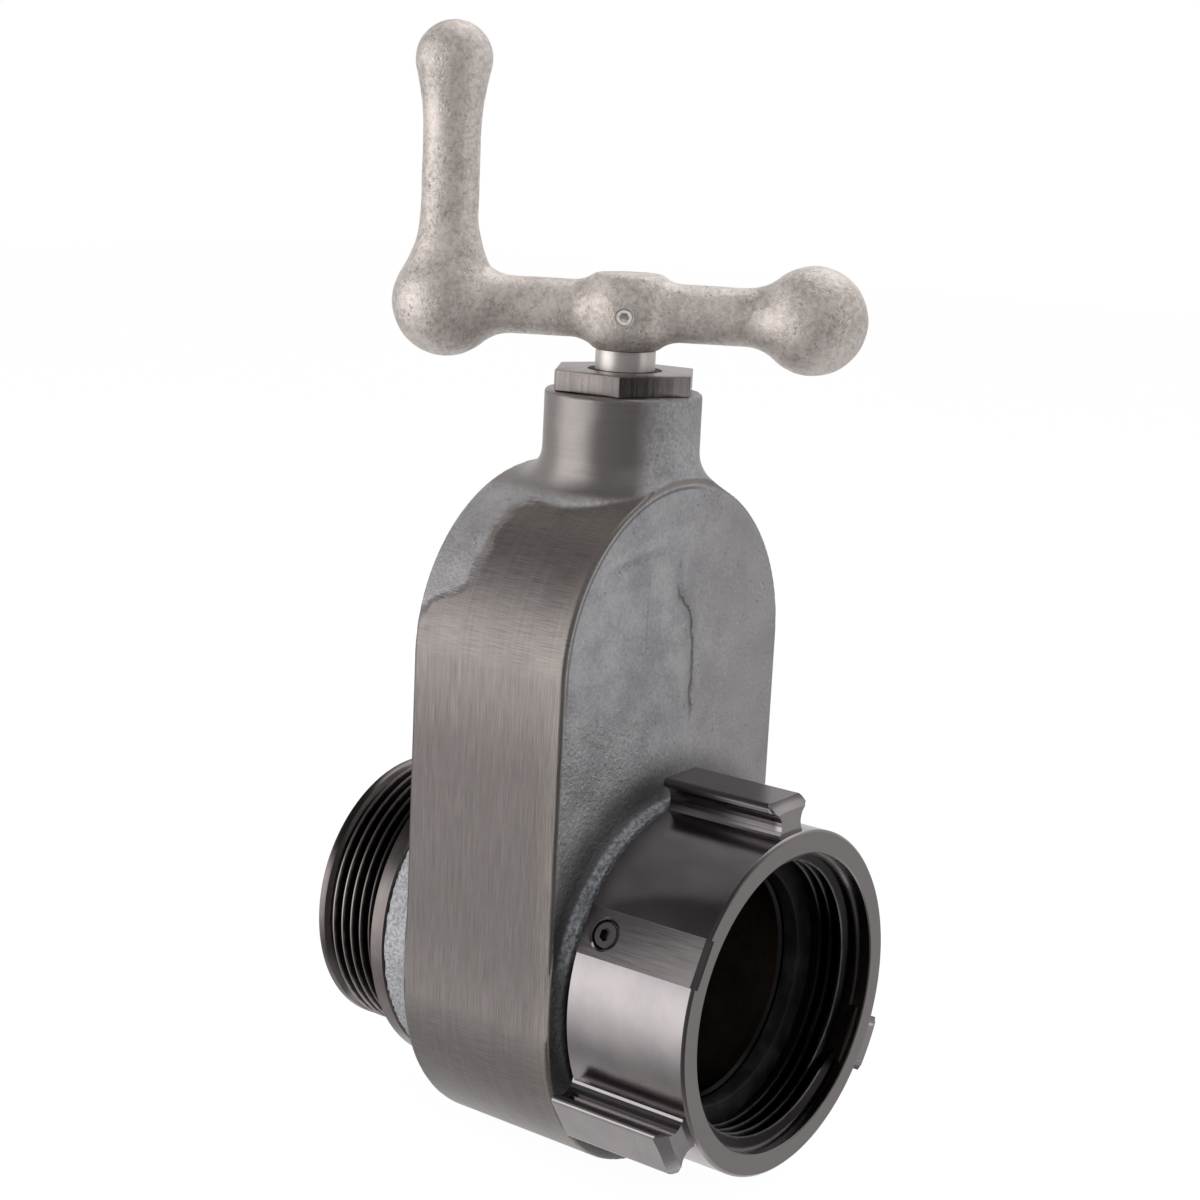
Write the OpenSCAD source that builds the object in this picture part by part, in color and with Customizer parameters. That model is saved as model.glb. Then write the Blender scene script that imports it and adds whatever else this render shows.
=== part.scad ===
// Hydrant gate valve for a fire hose: swivel inlet, round sliding gate, crank on a non-rising stem.
// Y runs from the hydrant side to the hose side. Z runs up the stem.
// The origin is the middle of the hydrant gasket's front face, on the waterway's axis.

/* [Waterway and hose threads] */
// Root radius of the female hose thread, which sets the size of the valve
female_r = 39.2; // [36:0.05:44]
// Length of the female hose thread
female_len = 14.6; // [10:0.1:20]
// How much smaller the male thread's crest is than the female thread's root
thread_fit = 0.23; // [0.1:0.01:0.4]
// Length of the male hose thread
male_len = 25.3; // [18:0.1:32]
// Step from the female thread's root out to the plain mouth in front of it
mouth_step = 1.1; // [0.9:0.05:2]
// Depth of the plain mouth
mouth_depth = 4; // [2:0.1:6]

/* [Swivel ring] */
// Wall of the swivel ring outside the female thread
ring_wall = 7.3; // [6.3:0.1:9]
// Distance that the ring reaches behind the gasket's front face
ring_back = 18.6; // [16:0.1:20]
// Depth of the gasket's groove outside the female thread's root
gasket_groove = 1.4; // [0.8:0.1:2]
// Distance from the waterway's wall to the gasket's hole
gasket_inset = 0.95; // [0.3:0.05:2]
// Thickness of the hydrant gasket
gasket_t = 4.76; // [3:0.01:5.5]

/* [Rocker lugs] */
// Number of lugs round the ring
lug_count = 3; // [2:1:4]
// Angle of the first lug, from X towards Z
lug_phase = 91.5; // [80:0.5:100]
// Height of the lugs' flat tops above the ring
lug_h = 8.8; // [7:0.1:11]
// Half the width of a lug across its ridges
lug_half_w = 7.74; // [6.5:0.02:8.3]
// Rounding of a lug's ridges
lug_round = 1.4; // [0.6:0.1:2]
// Radius of the hollow in a lug's flank
lug_flank_r = 4.3; // [3.6:0.1:4.6]
// Half the width of a lug's waist
lug_waist = 4.3; // [3:0.1:5.5]
// Distance from the ring's face to a lug's front end
lug_setback = 1.9; // [1:0.1:4]
// Bevel on a lug's front end
lug_bevel = 3; // [1:0.1:4]
// Depth of the notch that marks where the thread starts
lug_notch = 1.4; // [0.6:0.1:2]

/* [Ball race] */
// Radius of a ball
ball_r = 2.38; // [2:0.01:2.6]
// Smallest gap between two balls
ball_space = 0.2; // [0.1:0.05:1]
// Distance from the ring's rear face to the middle of the race
race_from_back = 6.4; // [5:0.1:8]
// Clearance round a ball in its race
race_gap = 0.05; // [0.03:0.01:0.1]
// Angle of the milled flat, from X towards Z
flat_angle = 152.1; // [140:0.1:165]
// Depth of the milled flat below the ring's outside
flat_depth = 0.9; // [0.5:0.1:1.4]
// Half the width of the milled flat
flat_half_w = 6.43; // [6:0.01:6.6]
// Bevel where the milled flat meets the ring's face
flat_bevel = 1.5; // [0.5:0.1:2.5]
// Radius of the ball loading plug
plug_r = 3.95; // [3.2:0.05:4.2]
// Height of the plug
plug_h = 2.7; // [2:0.1:3]
// Size across the flats of the plug's socket
plug_socket = 3.2; // [2:0.1:4]

/* [Body casting] */
// Thickness of the body from its front face to its rear face
body_t = 50.4; // [49:0.1:58]
// Height of the centre of the body's top arc
body_high_z = 84.65; // [78:0.05:95]
// Depth of the centre of the body's bottom arc below the waterway's axis
body_low_z = 7.8; // [4:0.1:15]
// Thickness of the body's side walls
side_wall = 8.65; // [6:0.05:8.9]
// Thickness of the wall between the chamber's crown and the neck's bore
crown_wall = 7.35; // [5:0.05:9]
// Rounding of the body's long edges
body_edge = 1.2; // [0.4:0.1:3]
// Distance that the hub behind the swivel ring stands out past it
front_hub_proud = 0.3; // [0:0.1:0.8]
// Height of the front hub above the body's face
front_hub_h = 4; // [3:0.1:4.3]
// Width of the shadow line between the ring and the front hub
hub_line = 0.7; // [0.4:0.1:1.5]
// Fillet between the front hub and the body's face
front_fillet = 6; // [2:0.1:7]
// Wall of the rear hub outside the outlet adapter
rear_hub_wall = 4.15; // [3.4:0.05:6]
// Height of the rear hub above the body's rear face
rear_hub_h = 10.8; // [9:0.1:16]
// Fillet between the rear hub and the body's rear face
rear_fillet = 6.5; // [2:0.1:8]

/* [Neck] */
// Distance from the body's front face to the stem's axis
stem_inset = 21.7; // [21:0.1:23]
// Outside radius of the neck
neck_r = 20.97; // [19:0.01:21]
// Height of the neck's top above the body's crown
neck_h = 21.85; // [18:0.05:28]
// Radius of the neck's threaded bore
neck_bore_r = 15; // [14:0.1:16]
// Fillet at the foot of the neck
neck_fillet = 8; // [3:0.5:12]
// Rounding of the neck's top rim
neck_rim = 1.2; // [0.4:0.1:2.5]

/* [Inserts and seats] */
// Step from the female thread's root out to the tailpiece's nose
nose_step = 0.6; // [0.3:0.05:0.9]
// Step from the nose in to where the tailpiece screws into the body
tail_step = 2.3; // [1.5:0.1:3]
// Wall of the tailpiece between the waterway and the body
tail_wall = 5.75; // [5:0.05:9]
// Wall of the outlet adapter between the waterway and the body
adapter_wall = 8.4; // [7.5:0.05:9.2]
// Length of the outlet adapter's collar
collar_len = 5.25; // [3:0.05:9]
// Width of the rubber seats
seat_w = 2.6; // [1.8:0.1:2.8]
// Land between the waterway and the rubber seats
seat_land = 1.15; // [0.8:0.05:1.5]
// Depth of the grooves that hold the rubber seats
seat_depth = 2.4; // [1.5:0.1:4]
// Radius of the section of the seal rings on the inserts
insert_seal = 0.9; // [0.6:0.05:1.1]

/* [Gate] */
// Distance that the gate reaches past the seats
gate_lap = 3.2; // [2:0.1:3.6]
// Thickness of the gate
gate_t = 24; // [22.6:0.1:25]
// Gap between the gate's faces and the chamber's walls
chamber_gap = 1.7; // [1.2:0.1:2.2]
// Depth of the flat that is cut into the gate's rim for its nut
gate_flat = 2.1; // [1.5:0.1:3]
// Gap between the stem's thread and the gate's blind bore
gate_bore_gap = 0.65; // [0.4:0.05:1.5]
// Thickness of the gate's rim under the blind bore
gate_bore_wall = 2.9; // [2:0.1:3.2]
// Wall of the nut where it screws into the gate
nut_wall = 3; // [2:0.1:3.6]
// Depth of the nut below the gate's flat top
nut_depth = 12.6; // [8:0.1:16]
// Height of the nut's hexagon
nut_hex_h = 6; // [4:0.1:8]
// Distance that the hexagon's flats stand out past the nut's thread
nut_shoulder = 0.5; // [0.2:0.1:1.4]
// Height of the nut's collar above its hexagon
nut_collar_h = 8; // [5:0.1:8.4]
// Step from the nut's thread in to its collar
nut_step = 1; // [0:0.1:1.6]
// Radius of the grub screw in the gate's rim
grub_r = 2.5; // [1.5:0.1:3]
// Length of the grub screw
grub_len = 10; // [6:0.5:12]

/* [Stem] */
// Radius of the stem's threaded end
stem_thread_r = 6.35; // [5.5:0.05:6.6]
// Radius of the stem's polished shank
shank_r = 7.94; // [7.2:0.01:8.4]
// Distance that the shut gate's flat lies above the stem's lower end
stem_dip = 1.1; // [0.3:0.1:1.6]
// Radius of the stem's thrust collar
thrust_r = 11.5; // [10.5:0.1:13]
// Height of the thrust collar
thrust_h = 3.9; // [3:0.1:5]
// Thickness of the thrust washers
washer_t = 1.5; // [1:0.1:2]
// Length of polished shank that shows between the gland nut and the crank's hub
shank_show = 5.15; // [2:0.05:9]
// Radius of the spigot in the crank's hub
spigot_r = 6.35; // [5:0.05:7]
// Depth of the flat on the spigot for the set screw
spigot_flat = 0.75; // [0.3:0.05:1.2]

/* [Gland nut] */
// Size across the flats of the gland nut's hexagon
gland_hex = 35.3; // [34:0.1:38]
// Height of the hexagon
gland_hex_h = 5.3; // [4:0.1:9]
// Turn of the hexagon about the stem
gland_turn = 34; // [0:1:59]
// Radius of the section of the stem's seal rings
stem_seal = 0.9; // [0.6:0.05:1.1]
// Distance between the stem's two seal rings
stem_seal_gap = 6; // [4:0.5:7]
// Height of the wiper ring
wiper_h = 2; // [1:0.1:2.5]
// Width of the wiper ring's section
wiper_w = 1.8; // [1:0.1:3]

/* [Crank] */
// Direction of the crank's counterweight ball at rest, from X towards Y
crank_turn = -61; // [-180:1:180]
// Height of the arms' axis above the stem's shoulder
arm_rise = 10.1; // [8:0.1:11.5]
// Radius of the arms
arm_r = 7.7; // [6:0.1:9]
// Radius of the round hub
hub_r = 13.2; // [12:0.1:15]
// Height of the hub between its flat ends
hub_h = 19.8; // [16:0.1:22]
// Thickness of the hub above the spigot
hub_cap = 3.1; // [2:0.1:6]
// Distance from the stem to the counterweight ball
weight_reach = 48.35; // [40:0.05:70]
// Radius of the counterweight ball
weight_r = 14.2; // [11:0.1:18]
// Distance from the stem to the elbow ball
elbow_reach = 48.5; // [40:0.05:70]
// Radius of the elbow ball
elbow_r = 14.6; // [12:0.1:18]
// Fillet between the balls and the arms
arm_fillet = 12; // [4:0.5:14]
// Fillet between the hub and the arms
hub_fillet = 9; // [4:0.5:12]
// Height of the grip's knob above the arms' axis
grip_h = 62.3; // [55:0.1:100]
// Radius of the grip's knob
knob_r = 10.2; // [9:0.1:14]
// Radius of the grip at its waist
grip_r = 7.75; // [6:0.05:8.8]
// Fillet where the grip leaves the elbow
grip_foot = 30; // [10:1:32]
// Fillet where the grip swells into its knob
grip_swell = 60; // [20:1:64]
// Radius of the crank's set screw
set_screw_r = 2.3; // [1.5:0.1:3]
// Size across the flats of the set screw's socket
set_screw_socket = 2.4; // [1.2:0.1:3]
// Distance of the set screw below the arms' axis
set_screw_drop = 0.8; // [0:0.1:1.5]
// Turn of the set screw from square to the arms
set_screw_turn = 4; // [-8:1:8]

/* [Edges] */
// Break on a turned edge
turned_break = 0.5; // [0.2:0.1:0.8]
// Lead-in at the end of a thread or a bore
lead_in = 0.8; // [0.4:0.1:1.2]

/* [Clearances] */
// Radial gap of a running fit
run_gap = 0.05; // [0.02:0.01:0.09]
// Gap of a fixed fit
fix_gap = 0.02; // [0.01:0.01:0.05]
// Gap between a moving face and a still one
face_gap = 0.3; // [0.2:0.05:0.6]
// Axial gap at the thrust collar
thrust_gap = 0.1; // [0.05:0.05:0.2]

/* [Hidden] */
$fn = 96;

// How far a cut runs past the face that it opens
past = 2;
// Distance that a seat stands proud of its groove
seat_proud = 0.3;

male_r = female_r - thread_fit;
mouth_r = female_r + mouth_step;
ring_r = female_r + ring_wall;
gasket_r = female_r + gasket_groove;
nose_r = female_r + nose_step;
tail_r = nose_r - tail_step;
waterway_r = tail_r - tail_wall;
gasket_hole_r = waterway_r + gasket_inset;
adapter_r = waterway_r + adapter_wall;
rear_hub_r = adapter_r + rear_hub_wall;
collar_r = rear_hub_r;
front_hub_r = ring_r + front_hub_proud;
seat_r = waterway_r + seat_land;
gate_r = seat_r + seat_w + gate_lap;
chamber_r = gate_r + face_gap;
body_half_w = chamber_r + side_wall;
lug_top_r = ring_r + lug_h;
flat_dist = ring_r - flat_depth;

ring_face = -mouth_depth - female_len;
race_y = ring_back - race_from_back;
race_ring_r = nose_r + run_gap / 2;
ball_count = floor(180 / asin((ball_r + ball_space / 2) / race_ring_r));
nose_y = gasket_t + face_gap;
hub_y = ring_back + hub_line;
body_front = hub_y + front_hub_h;
body_rear = body_front + body_t;
rear_hub_y = body_rear + rear_hub_h;
male_y = rear_hub_y + collar_len;
outlet_y = male_y + male_len;
stem_y = body_front + stem_inset;
gate_y0 = stem_y - gate_t / 2;
gate_y1 = stem_y + gate_t / 2;
chamber_y0 = gate_y0 - chamber_gap;
chamber_y1 = gate_y1 + chamber_gap;
chamber_top = body_high_z + chamber_r;
neck_floor = chamber_top + crown_wall;
neck_top = body_high_z + body_half_w + neck_h;
inlet_seat_y = gate_y0 - face_gap - seat_proud;
outlet_seat_y = gate_y1 + face_gap + seat_proud;
gate_top = gate_r - gate_flat;
gate_bore_z = gate_r - gate_bore_wall;
gate_bore_r = stem_thread_r + gate_bore_gap;
nut_r = gate_bore_r + nut_wall;
nut_hex = 2 * (nut_r + nut_shoulder);
nut_collar_r = nut_r - nut_step;
nut_bottom = gate_top - nut_depth;
nut_hex_z = gate_top + nut_hex_h;
nut_top = nut_hex_z + nut_collar_h;
stem_end_z = gate_top - stem_dip;
collar_z0 = neck_floor + washer_t + thrust_gap;
collar_z1 = collar_z0 + thrust_h;
gland_z0 = collar_z1 + thrust_gap + washer_t;
gland_top = neck_top + gland_hex_h;
seal_z0 = gland_z0 + stem_seal_gap * 0.75;
seal_z1 = seal_z0 + stem_seal_gap;
// Height of the seal ring under the gland nut's hexagon
bonnet_seal_z = neck_top - 2.4 * stem_seal;
shoulder_z = gland_top + shank_show;
arm_z = shoulder_z + arm_rise;
spigot_top = shoulder_z + hub_h - hub_cap;
plug_seat_r = race_ring_r + ball_r + 2 * race_gap;

cast_colour = [0.52, 0.54, 0.56];
ring_colour = [0.26, 0.24, 0.24];
steel_colour = [0.78, 0.78, 0.78];
rubber_colour = [0.09, 0.09, 0.09];
bronze_colour = [0.68, 0.5, 0.28];
crank_colour = [0.66, 0.64, 0.62];

// Turns a flat outline about the waterway: x is the radius, y is the place along Y
module turned_on_waterway() {
    rotate([-90, 0, 0]) rotate_extrude() children();
}

// Turns a flat outline about the stem: x is the radius, y is the height
module turned_on_stem() {
    translate([0, stem_y, 0]) rotate_extrude() children();
}

// A rectangle with its two outer corners rounded, from the axis outwards
module rounded_rim(w, t, edge) {
    square([w - edge, t]);
    translate([0, edge]) square([w, t - 2 * edge]);
    translate([w - edge, edge]) circle(edge);
    translate([w - edge, t - edge]) circle(edge);
}

// A plate with straight sides and round ends, from y0 to y1, its long edges rounded
module round_ended_plate(r, y0, y1, edge) {
    t = y1 - y0;
    translate([0, y0, body_high_z]) rotate([0, 180, 0]) rotate([-90, 0, 0])
        rotate_extrude(angle = 180) rounded_rim(r, t, edge);
    translate([0, y0, -body_low_z]) rotate([-90, 0, 0])
        rotate_extrude(angle = 180) rounded_rim(r, t, edge);
    translate([0, y0, -body_low_z]) linear_extrude(body_high_z + body_low_z) {
        rounded_rim(r, t, edge);
        mirror([1, 0]) rounded_rim(r, t, edge);
    }
}

// The same plate with sharp edges
module square_edged_plate(r, y0, y1) {
    for (z = [-body_low_z, body_high_z])
        translate([0, y0, z]) rotate([-90, 0, 0]) cylinder(r = r, h = y1 - y0);
    translate([-r, y0, -body_low_z]) cube([2 * r, y1 - y0, body_high_z + body_low_z]);
}

// A hub's outline with a fillet at its foot; base is the face it stands on, dir is its way out
module hub_outline(r, base, dir, h, fillet, edge) {
    f = min(fillet, h - edge);
    polygon([
        [0, base - dir * past], [r + f, base - dir * past], [r + f, base], [r, base],
        [r, base + dir * (h - edge)], [r - edge, base + dir * h], [0, base + dir * h]
    ]);
    difference() {
        polygon([[r - 1, base - dir], [r + f, base - dir], [r + f, base + dir * f], [r - 1, base + dir * f]]);
        translate([r + f, base + dir * f]) circle(f);
    }
}

// The casting before it is machined
module body_casting() {
    round_ended_plate(body_half_w, body_front, body_rear, body_edge);
    intersection() {
        turned_on_waterway() {
            hub_outline(front_hub_r, body_front, -1, front_hub_h, front_fillet, lead_in);
            hub_outline(rear_hub_r, body_rear, 1, rear_hub_h, rear_fillet, turned_break);
        }
        square_edged_plate(body_half_w, hub_y - past, rear_hub_y + past);
    }
    turned_on_stem() translate([0, body_high_z]) {
        square([neck_r - neck_rim, neck_top - body_high_z]);
        square([neck_r, neck_top - neck_rim - body_high_z]);
        translate([neck_r - neck_rim, neck_top - neck_rim - body_high_z]) circle(neck_rim);
    }
    neck_foot();
}

// The fillet where the neck leaves the round shoulder
module neck_foot() {
    foot_r = neck_r + neck_fillet;
    foot_z = body_high_z + sqrt(pow(body_half_w, 2) - pow(neck_r + neck_fillet * 0.6, 2));
    intersection() {
        turned_on_stem() difference() {
            translate([0, body_high_z]) square([foot_r, foot_z + neck_fillet - body_high_z]);
            translate([foot_r, foot_z + neck_fillet]) circle(neck_fillet);
        }
        translate([-body_half_w, body_front, body_high_z])
            cube([2 * body_half_w, body_t, foot_z + neck_fillet]);
    }
}

module valve_body() {
    color(cast_colour) difference() {
        body_casting();
        square_edged_plate(chamber_r, chamber_y0, chamber_y1);
        turned_on_waterway() {
            translate([0, hub_y - past]) square([tail_r + fix_gap, stem_y - hub_y + past]);
            translate([0, stem_y]) square([adapter_r + fix_gap, rear_hub_y + past - stem_y]);
        }
        turned_on_stem() {
            translate([0, body_high_z]) square([shank_r + run_gap, neck_top - body_high_z]);
            translate([0, neck_floor]) square([neck_bore_r, neck_top + past - neck_floor]);
        }
    }
}

module tailpiece() {
    seal_y = hub_y + 3 * insert_seal;
    color(ring_colour) turned_on_waterway() difference() {
        polygon([
            [waterway_r + lead_in, nose_y], [nose_r - turned_break, nose_y],
            [nose_r, nose_y + turned_break], [nose_r, hub_y], [tail_r, hub_y],
            [tail_r, inlet_seat_y], [waterway_r, inlet_seat_y], [waterway_r, nose_y + lead_in]
        ]);
        translate([race_ring_r, race_y]) circle(ball_r + race_gap);
        translate([tail_r - 2 * insert_seal, seal_y - 1.2 * insert_seal])
            square([2 * insert_seal + past, 2.4 * insert_seal]);
        translate([seat_r, inlet_seat_y - seat_depth]) square([seat_w, seat_depth + past]);
    }
}

// A seal ring of round section about the waterway
module insert_seal_ring(r, y) {
    color(rubber_colour) turned_on_waterway()
        translate([r - insert_seal - fix_gap, y]) circle(insert_seal - fix_gap);
}

module tailpiece_seal() {
    insert_seal_ring(tail_r + fix_gap, hub_y + 3 * insert_seal);
}

module adapter_seal() {
    insert_seal_ring(adapter_r + fix_gap, rear_hub_y - 3 * insert_seal);
}

// A rubber seat of square section in the end of an insert; dir is the way towards the gate
module rubber_seat(y, dir) {
    y0 = min(y - dir * seat_depth, y + dir * seat_proud);
    color(rubber_colour) turned_on_waterway()
        translate([seat_r + fix_gap, y0]) square([seat_w - 2 * fix_gap, seat_depth + seat_proud]);
}

module inlet_seat() {
    rubber_seat(inlet_seat_y, 1);
}

module outlet_seat() {
    rubber_seat(outlet_seat_y, -1);
}

// One lug's outline, standing on the ring: x is along the ring, y is the radius
module lug_outline() {
    base = ring_r - lug_half_w;
    waist_y = (ring_r + lug_top_r - lug_round) / 2 - 1.2;
    difference() {
        union() {
            translate([-lug_half_w, base]) square([2 * lug_half_w, lug_top_r - lug_round - base]);
            translate([lug_round - lug_half_w, base])
                square([2 * (lug_half_w - lug_round), lug_top_r - base]);
            for (s = [-1, 1])
                translate([s * (lug_half_w - lug_round), lug_top_r - lug_round]) circle(lug_round);
        }
        for (s = [-1, 1])
            translate([s * (lug_waist + lug_flank_r), waist_y]) circle(lug_flank_r);
    }
}

// All the lugs, cut to the bevel on their front ends
module lugs() {
    reach = norm([lug_top_r, lug_half_w]);
    front = ring_face + lug_setback;
    intersection() {
        union() for (i = [0:lug_count - 1])
            rotate([0, 90 - lug_phase - i * 360 / lug_count, 0])
                translate([0, ring_back, 0]) rotate([90, 0, 0])
                    linear_extrude(ring_back - front) lug_outline();
        turned_on_waterway() polygon([
            [0, front], [reach - lug_bevel, front], [reach, front + lug_bevel], [reach, ring_back], [0, ring_back]
        ]);
    }
}

// Moves a piece that stands on the Z axis out to the milled flat
module at_flat() {
    rotate([0, 90 - flat_angle, 0]) translate([0, race_y, 0]) children();
}

// The ring with its lugs, bores, flat and plug hole, before its ball race is cut
module ring_blank() {
    difference() {
        union() {
            turned_on_waterway() polygon([
                [waterway_r, ring_face], [ring_r - turned_break, ring_face],
                [ring_r, ring_face + turned_break], [ring_r, ring_back - turned_break],
                [ring_r - turned_break, ring_back], [waterway_r, ring_back]
            ]);
            lugs();
        }
        turned_on_waterway() {
            translate([0, ring_face - past]) square([mouth_r, mouth_depth + past]);
            translate([0, ring_face]) square([female_r, mouth_depth + female_len]);
            square([gasket_r + fix_gap, gasket_t]);
            translate([0, gasket_t / 2]) square([nose_r + run_gap, ring_back]);
        }
        rotate([0, 90 - flat_angle, 0]) rotate([90, 0, 90])
            translate([0, 0, -flat_half_w]) linear_extrude(2 * flat_half_w) polygon([
                [ring_face - past, flat_dist - flat_bevel - past], [ring_face + flat_bevel, flat_dist],
                [ring_back + past, flat_dist], [ring_back + past, ring_r + past],
                [ring_face - past, ring_r + past]
            ]);
        at_flat() {
            translate([0, 0, race_ring_r + ball_r / 2])
                cylinder(r = plug_r + fix_gap, h = ring_r - race_ring_r);
            translate([0, 0, flat_dist - 1.6]) cylinder(r1 = plug_r - 1, r2 = plug_r + 1.6, h = 2.6);
        }
        rotate([0, 90 - lug_phase - 360 / lug_count, 0])
            translate([-lug_half_w, ring_face + lug_setback, lug_top_r - lug_round - lug_bevel / 2])
                rotate([0, 45, 0]) cube([lug_notch, 2 * lug_notch, lug_notch], center = true);
    }
}

module swivel_ring() {
    color(ring_colour) difference() {
        ring_blank();
        turned_on_waterway() translate([race_ring_r, race_y]) circle(ball_r + race_gap);
    }
}

module ball_plug() {
    color(steel_colour) at_flat() translate([0, 0, plug_seat_r]) difference() {
        union() {
            cylinder(r = plug_r, h = plug_h - turned_break);
            cylinder(r = plug_r - turned_break, h = plug_h);
        }
        translate([0, 0, 1]) cylinder(r = plug_socket / sqrt(3), h = plug_h, $fn = 6);
    }
}

module hydrant_gasket() {
    color(rubber_colour) turned_on_waterway()
        translate([gasket_hole_r, 0]) square([gasket_r - gasket_hole_r, gasket_t]);
}

module swivel_balls() {
    color(steel_colour) for (i = [0:ball_count - 1])
        rotate([0, i * 360 / ball_count, 0]) translate([race_ring_r, race_y, 0]) sphere(ball_r);
}

module outlet_adapter() {
    seal_y = rear_hub_y - 3 * insert_seal;
    color(ring_colour) turned_on_waterway() difference() {
        polygon([
            [waterway_r, outlet_seat_y], [adapter_r, outlet_seat_y], [adapter_r, rear_hub_y],
            [collar_r - turned_break, rear_hub_y], [collar_r, rear_hub_y + turned_break],
            [collar_r, male_y - turned_break], [collar_r - turned_break, male_y], [male_r, male_y],
            [male_r, outlet_y - lead_in], [male_r - turned_break, outlet_y],
            [waterway_r + lead_in, outlet_y], [waterway_r, outlet_y - lead_in]
        ]);
        translate([adapter_r - 2 * insert_seal, seal_y - 1.2 * insert_seal])
            square([2 * insert_seal + past, 2.4 * insert_seal]);
        translate([seat_r, outlet_seat_y - past]) square([seat_w, seat_depth + past]);
    }
}

// Places a piece on the grub screw's axis, its tip on the nut and its length along X
module at_grub() {
    translate([nut_r + fix_gap, stem_y, gate_top - nut_depth / 2]) rotate([0, 90, 0]) children();
}

module gate() {
    color(bronze_colour) difference() {
        translate([0, gate_y0, 0]) rotate([-90, 0, 0]) rotate_extrude() polygon([
            [0, 0], [gate_r - 1, 0], [gate_r, 1], [gate_r, gate_t - 1], [gate_r - 1, gate_t], [0, gate_t]
        ]);
        translate([-gate_r, gate_y0 - past, gate_top]) cube([2 * gate_r, gate_t + 2 * past, gate_r]);
        turned_on_stem() {
            translate([0, -gate_bore_z]) square([gate_bore_r, gate_bore_z + gate_r]);
            translate([0, nut_bottom]) square([nut_r + fix_gap, gate_r]);
        }
        at_grub() translate([0, 0, -1]) cylinder(r = grub_r + fix_gap, h = gate_r);
    }
}

module gate_nut() {
    color(bronze_colour) difference() {
        union() {
            turned_on_stem() {
                translate([0, nut_bottom]) square([nut_r, nut_depth + nut_hex_h / 2]);
                translate([0, nut_hex_z - nut_hex_h / 2])
                    square([nut_collar_r, nut_collar_h + nut_hex_h / 2]);
            }
            translate([0, stem_y, gate_top])
                cylinder(r = nut_hex / sqrt(3), h = nut_hex_h, $fn = 6);
        }
        turned_on_stem() {
            translate([0, nut_bottom - past]) square([gate_bore_r, nut_depth + past]);
            translate([0, gate_top - past]) square([stem_thread_r + run_gap, nut_top + past]);
        }
    }
}

module gate_nut_screw() {
    color(steel_colour) at_grub() difference() {
        cylinder(r = grub_r, h = grub_len);
        translate([0, 0, grub_len - grub_r]) cylinder(r = grub_r / 2, h = grub_len, $fn = 6);
    }
}

module stem() {
    color(steel_colour) difference() {
        turned_on_stem() polygon([
            [0, stem_end_z], [stem_thread_r - lead_in, stem_end_z], [stem_thread_r, stem_end_z + lead_in],
            [stem_thread_r, chamber_top - 1], [shank_r, chamber_top + shank_r - stem_thread_r],
            [shank_r, collar_z0], [thrust_r, collar_z0], [thrust_r, collar_z1], [shank_r, collar_z1],
            [shank_r, shoulder_z], [spigot_r, shoulder_z], [spigot_r, spigot_top - lead_in],
            [spigot_r - lead_in, spigot_top], [0, spigot_top]
        ]);
        at_set_screw() translate([-spigot_r, -set_screw_r - 1, spigot_r - spigot_flat])
            cube([2 * spigot_r, 2 * set_screw_r + 2, spigot_r]);
    }
}

// A flat washer on the stem
module thrust_washer(z) {
    color(bronze_colour) turned_on_stem()
        translate([shank_r + run_gap, z]) square([neck_bore_r - 0.5 - shank_r, washer_t]);
}

module lower_thrust_washer() {
    thrust_washer(neck_floor);
}

module upper_thrust_washer() {
    thrust_washer(gland_z0 - washer_t);
}

module bonnet_nut() {
    color(ring_colour) difference() {
        union() {
            turned_on_stem() translate([0, gland_z0])
                square([neck_bore_r - fix_gap, neck_top - gland_z0]);
            translate([0, stem_y, neck_top]) rotate([0, 0, gland_turn])
                cylinder(r = gland_hex / sqrt(3), h = gland_hex_h, $fn = 6);
        }
        turned_on_stem() {
            translate([0, gland_z0 - past]) square([shank_r + run_gap, gland_top - gland_z0 + 2 * past]);
            for (z = [seal_z0, seal_z1])
                translate([0, z - 1.2 * stem_seal])
                    square([shank_r + run_gap + 2 * stem_seal, 2.4 * stem_seal]);
            translate([0, gland_top - wiper_h]) square([shank_r + run_gap + wiper_w, wiper_h + past]);
            translate([neck_bore_r - 2 * stem_seal, bonnet_seal_z - 1.2 * stem_seal])
                square([2 * stem_seal, 2.4 * stem_seal]);
        }
    }
}

module bonnet_seal() {
    color(rubber_colour) turned_on_stem()
        translate([neck_bore_r - stem_seal, bonnet_seal_z]) circle(stem_seal - fix_gap);
}

// A seal ring in the gland nut's bore
module stem_seal_ring(z) {
    color(rubber_colour) turned_on_stem()
        translate([shank_r + run_gap + stem_seal, z]) circle(stem_seal - fix_gap);
}

module lower_stem_seal() {
    stem_seal_ring(seal_z0);
}

module upper_stem_seal() {
    stem_seal_ring(seal_z1);
}

module stem_wiper() {
    color(rubber_colour) turned_on_stem() translate([shank_r + run_gap, gland_top - wiper_h])
        square([wiper_w - fix_gap, wiper_h]);
}

// Places a piece on the crank: X runs to the counterweight, the origin is on the arms' axis
module in_crank() {
    translate([0, stem_y, arm_z]) rotate([0, 0, crank_turn]) children();
}

// Places a piece on the set screw's axis, its length outwards along Z
module at_set_screw() {
    in_crank() translate([0, 0, -set_screw_drop]) rotate([90, 0, set_screw_turn]) children();
}

// A round shank of radius r along y that swells into a ball of radius ball at y = at
module swelling(r, ball, at, fillet, dir) {
    f = fillet;
    run = sqrt(max(1, pow(ball + f, 2) - pow(r + f, 2)));
    translate([0, at]) intersection() {
        circle(ball);
        translate([0, -ball]) square([ball, 2 * ball]);
    }
    difference() {
        polygon([[0, at - dir * run], [r + f, at - dir * run], [0, at]]);
        translate([r + f, at - dir * run]) circle(f);
    }
}

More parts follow.
